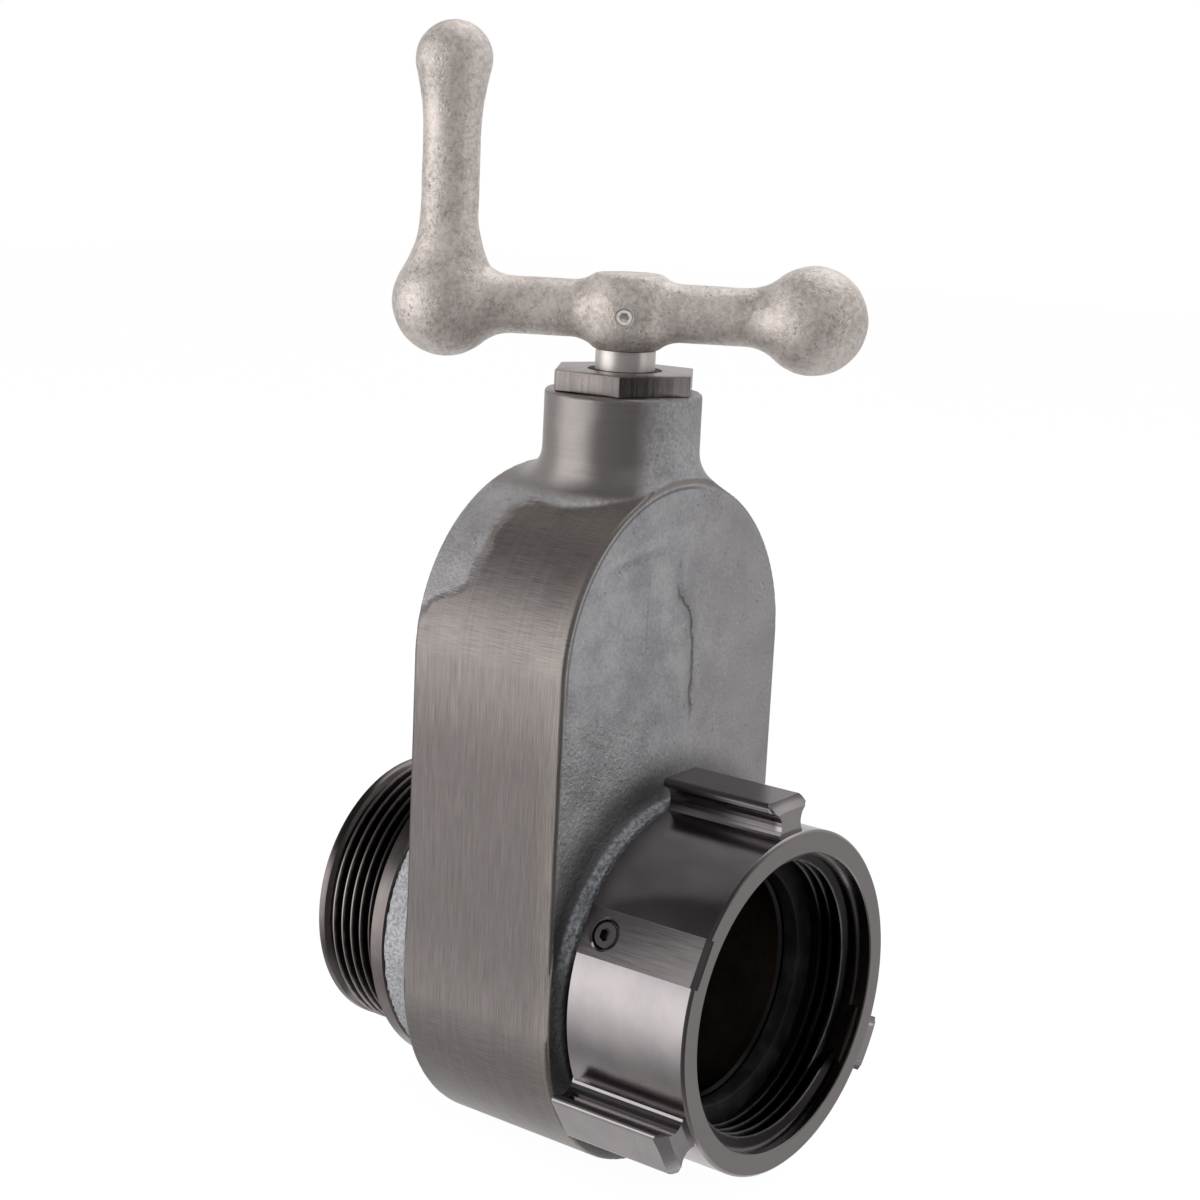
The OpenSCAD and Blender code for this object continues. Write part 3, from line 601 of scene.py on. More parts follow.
@dataclass(frozen=True)
class SteelFinish:
    """Polished or brushed steel with a few smears."""

    name: str
    colour: Colour
    rough: float = 0.36
    metal: float = 1.0
    smeared: float = 0.75

    def build(self) -> bpy.types.Material:
        """Returns: the material."""
        s = Shader(self.name)
        at = s.place()
        fine = s.noise(s.vector(at.x * 0.3, at.y * 0.3, at.z * 7.0), 1.0, 3.0)
        smear = s.noise(at.p, 6.0, 3.0)
        dull = tuple(c * self.smeared for c in self.colour)
        colour = s.blend(smear.step(0.3, 0.8) * 0.5, self.colour, dull)
        return s.surface(colour, self.metal, self.rough + (smear - 0.5) * 0.1, s.bump(fine, 0.006))


class Finishes:
    """Every material, built once."""

    def __init__(self) -> None:
        """Builds them."""
        male = ThreadFinish("male_thread_finish", 38.97, 36.74, (0.4, 0.365, 0.35), highlight_rise=(92.0, 105.0))
        bronze = TurnedFinish("bronze_finish", (0.3, 0.24, 0.18), (0.42, 0.33, 0.24), 0.5, 0.1)
        self.cast = CastBodyFinish().build()
        self.ring = RingFinish().build()
        self.film = TurnedFinish("anodised_finish", (0.06, 0.054, 0.054), (0.1, 0.09, 0.09)).build()
        self.outlet = TurnedFinish("outlet_finish", (0.2, 0.176, 0.172), (0.3, 0.265, 0.255), 0.22).build()
        self.male = male.build()
        self.female = ThreadFinish("female_thread_finish", 36.96, 39.2, (0.17, 0.157, 0.155)).build()
        self.rubber = RubberFinish().build()
        self.nut = NutFinish().build()
        self.crank = CastCrankFinish().build()
        self.stem = SteelFinish("polished_steel_finish", (0.86, 0.8, 0.765), metal=0.8).build()
        self.screw = SteelFinish("screw_steel_finish", (0.17, 0.158, 0.156), 0.28).build()
        self.set_screw = SteelFinish("set_screw_finish", (0.85, 0.83, 0.81), 0.35, 0.45).build()
        self.bronze = bronze.build()


# Solids


def obj_from(name: str, verts: Iterable, faces: Iterable, smooth_deg: float = 35.0) -> bpy.types.Object:
    """Makes a mesh object from places in mm.

    Args: name: object name. verts, faces: the mesh. smooth_deg: edges sharper than this stay sharp.
    Returns: the object, linked to the scene."""
    mesh = bpy.data.meshes.new(name)
    mesh.from_pydata([tuple(c * MM for c in v) for v in verts], [], [tuple(f) for f in faces])
    obj = shown(name, mesh)
    tidy(obj, smooth_deg)
    return obj


def shown(name: str, mesh: bpy.types.Mesh) -> bpy.types.Object:
    """Returns: a new object with that mesh, linked to the scene."""
    obj = bpy.data.objects.new(name, mesh)
    bpy.context.scene.collection.objects.link(obj)
    return obj


def tidy(obj: bpy.types.Object, smooth_deg: float = 35.0) -> None:
    """Merges doubled points, turns the faces outwards and marks the sharp edges.

    Args: obj: the object. smooth_deg: edges sharper than this stay sharp."""
    bm = bmesh.new()
    bm.from_mesh(obj.data)
    bmesh.ops.remove_doubles(bm, verts=bm.verts, dist=2e-6)
    bmesh.ops.dissolve_degenerate(bm, dist=1e-6, edges=bm.edges)
    bmesh.ops.recalc_face_normals(bm, faces=bm.faces)
    limit = math.radians(smooth_deg)
    for face in bm.faces:
        face.smooth = True
    for edge in bm.edges:
        edge.smooth = len(edge.link_faces) != 2 or edge.calc_face_angle(0.0) < limit
    bm.to_mesh(obj.data)
    bm.free()
    obj.data.update()


def turned(name: str, profile: Sequence[Point], axis: Axis = Axis.WATERWAY, count: int = 192,
           stem_y: float = STEM_Y, smooth_deg: float = 35.0) -> bpy.types.Object:
    """Turns a closed outline about the waterway or the stem.

    Args: name: object name. profile: (radius, place along the axis) points. axis: which line.
        count: segments. stem_y: where the stem stands. smooth_deg: edges sharper than this stay sharp.
    Returns: the object."""
    verts, faces, n = [], [], len(profile)
    for i in range(count):
        a = 2 * math.pi * i / count
        for r, t in profile:
            if axis is Axis.WATERWAY:
                verts.append((r * math.sin(a), t, r * math.cos(a)))
            else:
                verts.append((r * math.cos(a), stem_y + r * math.sin(a), t))
    for i in range(count):
        j = (i + 1) % count
        for k in range(n):
            m = (k + 1) % n
            if profile[k][0] == 0 and profile[m][0] == 0:
                continue
            faces.append((i * n + k, i * n + m, j * n + m, j * n + k))
    return obj_from(name, verts, faces, smooth_deg)


def prism(name: str, outline: Sequence[Point], lo: float, hi: float, frame3: Matrix | None = None,
          smooth_deg: float = 35.0) -> bpy.types.Object:
    """Draws an outline out along its own Z.

    Args: name: object name. outline: (x, y) points. lo, hi: the two ends. frame3: places it, in mm.
        smooth_deg: edges sharper than this stay sharp.
    Returns: the object."""
    at = frame3 or Matrix.Identity(4)
    n = len(outline)
    verts = [at @ Vector((x, y, z)) for z in (lo, hi) for x, y in outline]
    faces = [tuple(range(n))[::-1], tuple(range(n, 2 * n))]
    faces += [(k, (k + 1) % n, n + (k + 1) % n, n + k) for k in range(n)]
    return obj_from(name, verts, faces, smooth_deg)


def arc(cx: float, cy: float, r: float, a0: float, a1: float, steps: int = 8) -> list[Point]:
    """Points along an arc.

    Args: cx, cy, r: the circle. a0, a1: its ends in degrees. steps: chords.
    Returns: the points."""
    turns = [math.radians(a0 + (a1 - a0) * i / steps) for i in range(steps + 1)]
    return [(cx + r * math.cos(a), cy + r * math.sin(a)) for a in turns]


def hexagon(across_flats: float) -> list[Point]:
    """Returns: the six corners of a hexagon."""
    return arc(0, 0, across_flats / math.sqrt(3), 0, 300, 5)


def metres(place: Matrix) -> Matrix:
    """Returns: a placement in mm as one in metres."""
    out = place.copy()
    out.translation = place.translation * MM
    return out


def combine(obj: bpy.types.Object, other: bpy.types.Object, how: Cut, smooth_deg: float = 35.0) -> None:
    """Joins or cuts one solid with another, which is then removed.

    Args: obj: the solid that is kept. other: the tool. how: the kind. smooth_deg: sharp edge limit."""
    mod = obj.modifiers.new("cut", "BOOLEAN")
    mod.operation, mod.object, mod.solver = how.value, other, "MANIFOLD"
    bake(obj)
    bpy.data.objects.remove(other)
    tidy(obj, smooth_deg)


def bake(obj: bpy.types.Object) -> None:
    """Turns an object's modifiers into plain mesh.

    Args: obj: the object."""
    graph = bpy.context.evaluated_depsgraph_get()
    mesh = bpy.data.meshes.new_from_object(obj.evaluated_get(graph), depsgraph=graph)
    old = obj.data
    obj.modifiers.clear()
    obj.data = mesh
    bpy.data.meshes.remove(old)
    mesh.name = obj.name


def soften(obj: bpy.types.Object, width: float, limit_deg: float = 40.0) -> None:
    """Breaks the sharp edges.

    Args: obj: the object. width: mm. limit_deg: which edges count."""
    mod = obj.modifiers.new("edge_break", "BEVEL")
    mod.width, mod.segments, mod.limit_method = width * MM, 2, "ANGLE"
    mod.angle_limit = math.radians(limit_deg)
    mod.use_clamp_overlap = True
    bake(obj)
    tidy(obj, 30.0)


def round_normals(obj: bpy.types.Object, radii: Sequence[float]) -> None:
    """Gives the faces of turned walls about the waterway their true normals, and flat faces their own.

    Args: obj: the object. radii: the walls' radii in mm."""
    mesh = obj.data
    given = loop_normals(mesh)
    for face in mesh.polygons:
        far = [math.hypot(mesh.vertices[v].co.x, mesh.vertices[v].co.z) / MM for v in face.vertices]
        wall = any(all(abs(r - w) < 0.04 for r in far) for w in radii)
        side = Vector((face.center.x, 0, face.center.z)).normalized().dot(face.normal)
        for loop in face.loop_indices:
            if wall and abs(side) > 0.99:
                co = mesh.vertices[mesh.loops[loop].vertex_index].co
                given[loop] = Vector((co.x, 0, co.z)).normalized() * (1 if side > 0 else -1)
            elif not wall and (face.area > 4e-6 or abs(face.normal.y) > 0.999):
                given[loop] = face.normal
    mesh.normals_split_custom_set([tuple(v) for v in given])


def loop_normals(mesh: bpy.types.Mesh) -> np.ndarray:
    """Returns: the normal at each corner of each face."""
    given = np.zeros(len(mesh.loops) * 3)
    mesh.corner_normals.foreach_get("vector", given)
    return given.reshape(-1, 3)


def skin_normals(obj: bpy.types.Object, field: Field) -> None:
    """Gives the corners on a field's surface the field's own normals, so slivers from the cuts don't show.

    Args: obj: the object. field: distance in mm."""
    mesh = obj.data
    given, co = loop_normals(mesh), np.zeros(len(mesh.vertices) * 3)
    mesh.vertices.foreach_get("co", co)
    corner = np.zeros(len(mesh.loops), int)
    mesh.loops.foreach_get("vertex_index", corner)
    size, flat, middle, area = (np.zeros(len(mesh.polygons) * k) for k in (1, 3, 3, 1))
    for name, into in (("loop_total", size), ("normal", flat), ("center", middle), ("area", area)):
        mesh.polygons.foreach_get(name, into)
    owner = np.repeat(np.arange(len(size)), size.astype(int))
    flat, middle = flat.reshape(-1, 3)[owner], middle.reshape(-1, 3)[owner]
    at = co.reshape(-1, 3)[corner]
    on_skin = np.abs(field(*(at / MM).T)) < 0.03
    # a little way in from the corner, so that a sharp edge keeps its two sides
    at = (at * 0.8 + middle * 0.2) / MM
    slope = gradient(field, at, 0.03)
    slope /= np.maximum(np.linalg.norm(slope, axis=1), 1e-9)[:, None]
    agrees = ((slope * flat).sum(1) > 0.8) | (area[owner] < 5e-8)
    keep = on_skin & agrees
    given[keep] = slope[keep]
    mesh.normals_split_custom_set(given.tolist())


def repeated(obj: bpy.types.Object, count: int, first_deg: float, material: bpy.types.Material) -> None:
    """Repeats a piece about the waterway with Geometry Nodes, then bakes it.

    Args: obj: the piece. count: how many. first_deg: turn of the first. material: what it wears."""
    wanted = {
        "Count": ("NodeSocketInt", count), "First": ("NodeSocketFloat", math.radians(first_deg)),
        "Material": ("NodeSocketMaterial", material)}
    tree = bpy.data.node_groups.new("ring_of_" + obj.name, "GeometryNodeTree")
    new, face = tree.nodes.new, tree.interface
    face.new_socket("Geometry", in_out="INPUT", socket_type="NodeSocketGeometry")
    names = {k: face.new_socket(k, in_out="INPUT", socket_type=t).identifier for k, (t, _) in wanted.items()}
    face.new_socket("Geometry", in_out="OUTPUT", socket_type="NodeSocketGeometry")
    given, out = new("NodeGroupInput"), new("NodeGroupOutput")
    line, one = new("GeometryNodeMeshLine"), new("GeometryNodeGeometryToInstance")
    line.inputs["Offset"].default_value = (0, 0, 0)
    place, index = new("GeometryNodeInstanceOnPoints"), new("GeometryNodeInputIndex")
    share, turn, axis = new("ShaderNodeMath"), new("ShaderNodeMath"), new("ShaderNodeCombineXYZ")
    share.operation, turn.operation = "DIVIDE", "MULTIPLY_ADD"
    turn.inputs[1].default_value = 2 * math.pi
    real, dress = new("GeometryNodeRealizeInstances"), new("GeometryNodeSetMaterial")
    for source, target in (
            (given.outputs["Count"], line.inputs["Count"]), (given.outputs["Geometry"], one.inputs[0]),
            (line.outputs[0], place.inputs["Points"]), (one.outputs[0], place.inputs["Instance"]),
            (index.outputs[0], share.inputs[0]), (given.outputs["Count"], share.inputs[1]),
            (share.outputs[0], turn.inputs[0]), (given.outputs["First"], turn.inputs[2]),
            (turn.outputs[0], axis.inputs["Y"]), (axis.outputs[0], place.inputs["Rotation"]),
            (place.outputs[0], real.inputs[0]), (real.outputs[0], dress.inputs[0]),
            (given.outputs["Material"], dress.inputs["Material"]), (dress.outputs[0], out.inputs[0])):
        tree.links.new(source, target)
    mod = obj.modifiers.new("repeat", "NODES")
    mod.node_group = tree
    for key, (_, value) in wanted.items():
        mod[names[key]] = value
    bake(obj)


def helix(name: str, crest: float, root: float, y0: float, y1: float, start_deg: float, widths: Point,
          steps: int = 144) -> bpy.types.Object:
    """Sweeps one right hand thread ridge round the waterway, thinned out at both ends.

    Args: name: object name. crest, root: radii. y0, y1: the crest line's ends. start_deg: angle
        at y0. widths: half widths of the crest and of the root. steps: chords in a turn.
    Returns: the object."""
    sunk = root + (root - crest) * 0.06
    total = max(8, int((y1 - y0) / PITCH * steps))
    verts, faces = [], []
    for i in range(total + 1):
        y = y0 + (y1 - y0) * i / total
        a = math.radians(start_deg) + 2 * math.pi * (y - y0) / PITCH
        ease = min(1.0, i / (steps * 0.035), (total - i) / (steps * 0.12))
        tall = root + (crest - root) * max(0.02, ease)
        for r, w in ((sunk, -widths[1]), (tall, -widths[0]), (tall, widths[0]), (sunk, widths[1])):
            verts.append((r * math.sin(a), y + w, r * math.cos(a)))
    for i in range(total):
        for k in range(4):
            m = (k + 1) % 4
            faces.append((i * 4 + k, i * 4 + m, i * 4 + 4 + m, i * 4 + 4 + k))
    faces += [(0, 1, 2, 3), tuple(total * 4 + k for k in (3, 2, 1, 0))]
    return obj_from(name, verts, faces, 25.0)


# Cast shapes from distance fields


def crease_way(x: Val | np.ndarray, z: Val | np.ndarray) -> Val | np.ndarray:
    """Returns: the way across, in mm, from the crease that winds down the front face."""
    down = (99.0 - z) / 3.5
    return x - 3.6 - 4.9 * (down / (1.0 + abs(down)))


def fold_way(x: Val | np.ndarray, z: Val | np.ndarray) -> Val | np.ndarray:
    """Returns: the way up, in mm, from the fold at the top of the front face."""
    return z - 115.0 + (x + 8.0) * (x + 8.0) * 0.0075


def share(value: np.ndarray, lo: float, hi: float) -> np.ndarray:
    """Returns: 0 at lo, 1 at hi, straight between them and even beyond."""
    return np.clip((value - lo) / (hi - lo), 0, 1)


def soft_min(a: np.ndarray, b: np.ndarray, k: float | np.ndarray) -> np.ndarray:
    """Two distances joined with a fillet.

    Args: a, b: the distances. k: width of the blend in mm.
    Returns: their smooth union."""
    h = np.clip(0.5 + 0.5 * (b - a) / k, 0, 1)
    return b + (a - b) * h - k * h * (1 - h)


def edged(a: np.ndarray, b: np.ndarray, edge: float) -> np.ndarray:
    """Two distances that meet at a rounded edge.

    Args: a, b: the distances. edge: its radius.
    Returns: their intersection."""
    a, b = a + edge, b + edge
    return np.minimum(np.maximum(a, b), 0) + np.hypot(np.maximum(a, 0), np.maximum(b, 0)) - edge


def gradient(field: Field, points: np.ndarray, h: float) -> np.ndarray:
    """Returns: how much the field grows across 2 h at each point, along X, Y and Z."""
    return np.stack([field(*(points + e).T) - field(*(points - e).T) for e in np.eye(3) * h], 1)


def lumps(x: np.ndarray, y: np.ndarray, z: np.ndarray, size: float, seed: int) -> np.ndarray:
    """Smooth random waves.

    Args: x, y, z: mm. size: mm of one lump. seed: fixed.
    Returns: 0 to 1."""
    table = np.random.default_rng(seed).random((32, 32, 32))
    total, cells = 0.0, []
    for c in (x, y, z):
        f = c / size + 512.3
        i = np.floor(f).astype(int)
        t = f - i
        cells.append((i % 32, (i + 1) % 32, t * t * (3 - 2 * t)))
    (x0, x1, tx), (y0, y1, ty), (z0, z1, tz) = cells
    for ix, wx in ((x0, 1 - tx), (x1, tx)):
        for iy, wy in ((y0, 1 - ty), (y1, ty)):
            total = total + wx * wy * (table[ix, iy, z0] * (1 - tz) + table[ix, iy, z1] * tz)
    return total


class Skin:
    """Draws the zero surface of a distance field as quads."""

    def __init__(self, field: Field, lo: Sequence[float], hi: Sequence[float], cell: float) -> None:
        """Args: field: distance in mm. lo, hi: corners of the space. cell: size of one quad."""
        self.field, self.cell = field, cell
        self.lo = np.array(lo, float)
        self.shape = tuple(np.ceil((np.array(hi) - self.lo) / cell).astype(int) + 1)

    def project(self, v: np.ndarray, rounds: int) -> np.ndarray:
        """Moves points onto the surface.

        Args: v: the points. rounds: how many steps.
        Returns: the moved points."""
        h = 0.04
        for _ in range(rounds):
            d = self.field(*v.T)
            g = gradient(self.field, v, h) / (2 * h)
            g2 = np.maximum((g * g).sum(1), 0.2)
            v = v - np.clip(d / g2, -self.cell, self.cell)[:, None] * g
        return v

    def quads(self) -> tuple[np.ndarray, np.ndarray]:
        """Finds where the grid's edges cross the surface.

        Returns: one rough point for each cell that the surface crosses, and the quads between them."""
        axes = [self.lo[i] + self.cell * np.arange(self.shape[i]) for i in range(3)]
        d = self.field(*np.meshgrid(*axes, indexing="ij"))
        total, hits, quads = np.zeros((d.size, 3)), np.zeros(d.size), []
        for axis in range(3):
            a = np.take(d, range(self.shape[axis] - 1), axis)
            b = np.take(d, range(1, self.shape[axis]), axis)
            at = np.stack(np.nonzero((a < 0) != (b < 0)), 1)
            fa, fb = a[tuple(at.T)], b[tuple(at.T)]
            point = at.astype(float)
            point[:, axis] += fa / (fa - fb)
            u, w = [m for m in range(3) if m != axis]
            corner = []
            for du, dw in ((0, 0), (-1, 0), (-1, -1), (0, -1)):
                cell = at.copy()
                cell[:, u] += du
                cell[:, w] += dw
                flat = np.ravel_multi_index(tuple(cell.T), self.shape)
                for c in range(3):
                    total[:, c] += np.bincount(flat, point[:, c], d.size)
                hits += np.bincount(flat, minlength=d.size)
                corner.append(flat)
            quad = np.stack(corner, 1)
            turn = (fa >= 0) ^ (axis == 1)
            quad[turn] = quad[turn][:, ::-1]
            quads.append(quad)
        used = np.nonzero(hits)[0]
        number = np.full(d.size, -1)
        number[used] = np.arange(len(used))
        return self.lo + self.cell * total[used] / hits[used][:, None], number[np.concatenate(quads)]

    def build(self, name: str) -> bpy.types.Object:
        """Draws the surface and evens its points out.

        Args: name: object name.
        Returns: the object."""
        v, quads = self.quads()
        v = self.project(v, 3)
        n = len(v)
        ends = np.concatenate([quads[:, [i, (i + 1) % 4]] for i in range(4)])
        one, two = ends.T
        count = np.bincount(one, minlength=n) + np.bincount(two, minlength=n)
        for _ in range(2):
            near = [np.bincount(one, v[two, c], n) + np.bincount(two, v[one, c], n) for c in range(3)]
            v = self.project(v * 0.5 + np.stack(near, 1) / count[:, None] * 0.5, 2)
        log.info("%s: %d quads", name, len(quads))
        return obj_from(name, v.tolist(), quads.tolist(), 60.0)


# Sub-assemblies


class SubAssembly:
    """Common handling of finished pieces."""

    def __init__(self, finishes: Finishes) -> None:
        """Args: finishes: every material."""
        self.wear = finishes

    def dress(self, obj: bpy.types.Object, material: bpy.types.Material, body: Body, slot: str,
              *nodes: str) -> None:
        """Gives a piece its material and its body, and hides the CAD nodes it stands for.

        Args: obj: the piece. material: what it wears. body: what it rides on. slot: not used.
            nodes: the CAD nodes it stands for."""
        obj.data.materials.clear()
        obj.data.materials.append(material)
        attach(obj, body.value)
        if nodes:
            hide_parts(*nodes)
        log.info("%s: %d faces on %s", obj.name, len(obj.data.polygons), body.value)

    def dress_nodes(self, material: bpy.types.Material, *names: str) -> None:
        """Dresses CAD nodes that are shown as they are.

        Args: material: what they wear. names: the nodes."""
        for name in names:
            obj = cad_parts[name]
            obj.data.materials.clear()
            obj.data.materials.append(material)
            log.info("%s: CAD mesh", name)


@dataclass(frozen=True)
class CastingSizes:
    """The body casting, in mm."""

    half_w: float = 47.62
    low: float = -7.8
    high: float = 84.65
    front: float = 23.3
    rear: float = 73.7
    edge: float = 1.1
    hub_y: float = 19.3
    front_hub_r: float = 46.8
    front_hub_edge: float = 0.7
    front_fillet: float = 3.4
    rear_hub_y: float = 84.5
    rear_hub_r: float = 44.3
    rear_hub_edge: float = 0.5
    rear_fillet: float = 6.0
    neck_r: float = 20.97
    neck_top: float = 154.15
    neck_middle: float = 105.0
    neck_edge: float = 1.3
    neck_fillet: float = 8.5
    neck_foot: float = 121.0
    belt_end: float = 132.0
    front_hub_middle: float = 30.0
    rear_hub_middle: float = 70.0
    chamber_r: float = 39.0
    chamber: Point = (31.3, 58.7)
    tail_bore: float = 37.55
    outlet_bore: float = 40.2
    neck_bore: float = 15.0
    neck_floor: float = 131.0
    shank_bore: float = 8.2
    crease_depth: float = 0.35
    crease_w: float = 1.1
    fold_height: float = 0.5
    fold_w: float = 1.8
    cell: float = 1.0


class Casting(SubAssembly):
    """The valve body."""

    sizes = CastingSizes()

    def field(self, x: np.ndarray, y: np.ndarray, z: np.ndarray) -> np.ndarray:
        """The outside of the casting.

        Args: x, y, z: mm.
        Returns: the distance to it."""
        s = self.sizes
        rim = np.hypot(x, z - np.clip(z, s.low, s.high)) - s.half_w
        slab = np.abs(y - (s.front + s.rear) / 2) - (s.rear - s.front) / 2
        # the neck and the hubs start well inside the plate
        whole = edged(rim, slab, s.edge)
        tall = np.abs(z - s.neck_middle) - (s.neck_top - s.neck_middle)
        neck = edged(np.hypot(x, y - STEM_Y) - s.neck_r, tall, s.neck_edge)
        whole = soft_min(whole, neck, s.neck_fillet)
        whole = np.maximum(whole, np.maximum(s.front - y, y - s.rear))
        out = np.hypot(x, z)
        deep = np.abs(y - s.front_hub_middle) - (s.front_hub_middle - s.hub_y)
        front = edged(out - s.front_hub_r, deep, s.front_hub_edge)
        deep = np.abs(y - s.rear_hub_middle) - (s.rear_hub_y - s.rear_hub_middle)
        rear = edged(out - s.rear_hub_r, deep, s.rear_hub_edge)
        whole = soft_min(whole, front, s.front_fillet)
        whole = soft_min(whole, rear, s.rear_fillet)
        # the belt has trimmed the neck's fillet back to the round end, less and less towards the neck
        allowed = share(z, s.neck_foot, s.neck_foot + 12.0) ** 2 * s.neck_fillet
        allowed = allowed + np.maximum(z - s.belt_end, 0) * 20.0
        whole = np.maximum(whole, rim - allowed)
        cast = share(-rim, 1.5, 5.5) + share(z, 134.0, 137.0)
        wave = lumps(x, y, z, 13.0, 3) * 0.3 + lumps(x, y, z, 4.2, 5) * 0.12
        wave = wave + self.flow_marks(x, z) * (y < s.front + 2.0)
        return whole + wave * np.clip(cast, 0, 1)

    def flow_marks(self, x: np.ndarray, z: np.ndarray) -> np.ndarray:
        """Returns: the depth of the front face's crease, less the height of the fold above it."""
        s = self.sizes
        crease = s.crease_depth * np.exp(-((crease_way(x, z) / s.crease_w) ** 2))
        fold = s.fold_height * np.exp(-(((fold_way(x, z) - 1.4) / s.fold_w) ** 2))
        crease = crease * share(z, 66.0, 76.0) * share(-z, -114.0, -108.0)
        return crease - fold * share(x, -32.0, -27.0) * share(-x, 4.0, 9.0)

    def build(self) -> None:
        """Makes the body and dresses it."""
        s = self.sizes
        obj = Skin(self.field, (-51, 15, -59), (51, 88.5, 158), s.cell).build("cast_valve_body")
        end = arc(0, s.high, s.chamber_r, 0, 180, 48) + arc(0, s.low, s.chamber_r, 180, 360, 48)
        combine(obj, prism("chamber_cut", end, *s.chamber, UPRIGHT), Cut.AWAY, 50.0)
        water = [(0, 12), (s.tail_bore, 12), (s.tail_bore, STEM_Y), (s.outlet_bore, STEM_Y),
                 (s.outlet_bore, 92), (0, 92)]
        combine(obj, turned("water_cut", water, Axis.WATERWAY, 96), Cut.AWAY, 50.0)
        bore = [(0, 100), (s.shank_bore, 100), (s.shank_bore, s.neck_floor), (s.neck_bore, s.neck_floor),
                (s.neck_bore, 160), (0, 160)]
        combine(obj, turned("neck_cut", bore, Axis.STEM, 96), Cut.AWAY, 50.0)
        skin_normals(obj, self.field)
        self.dress(obj, self.wear.cast, Body.FIXED, "cast_body", "valve_body")


@dataclass(frozen=True)
class CouplingSizes:
    """The swivel ring and what it carries, in mm."""

    face: float = -18.6
    back: float = 18.6
    ring_r: float = 46.5
    mouth_r: float = 40.3
    mouth: float = 4.0
    female_r: float = 39.2
    crest_r: float = 36.96
    thread: Point = (-14.05, -1.75)
    thread_deg: float = 125.6
    thread_w: Point = (0.3, 1.4)
    gasket_r: float = 40.6
    gasket_hole: float = 32.7
    gasket_t: float = 4.76
    bore_r: float = 39.85
    race_r: float = 39.825
    race_y: float = 12.2
    ball_r: float = 2.38
    race_gap: float = 0.05
    balls: int = 50
    flat_deg: float = 152.1
    flat_dist: float = 45.6
    flat_half: float = 6.43
    flat_bevel: float = 1.5
    plug_r: float = 3.95
    plug_seat: float = 42.3
    plug_h: float = 2.7
    plug_gap: float = 0.05
    plug_socket: float = 3.2
    lugs: int = 3
    lug_deg: float = 91.5
    lug_top: float = 55.3
    lug_half: float = 7.74
    lug_round: float = 1.4
    lug_waist: float = 4.3
    lug_flank: float = 4.3
    lug_setback: float = 1.9
    lug_bevel: float = 3.0
    notch: float = 1.4


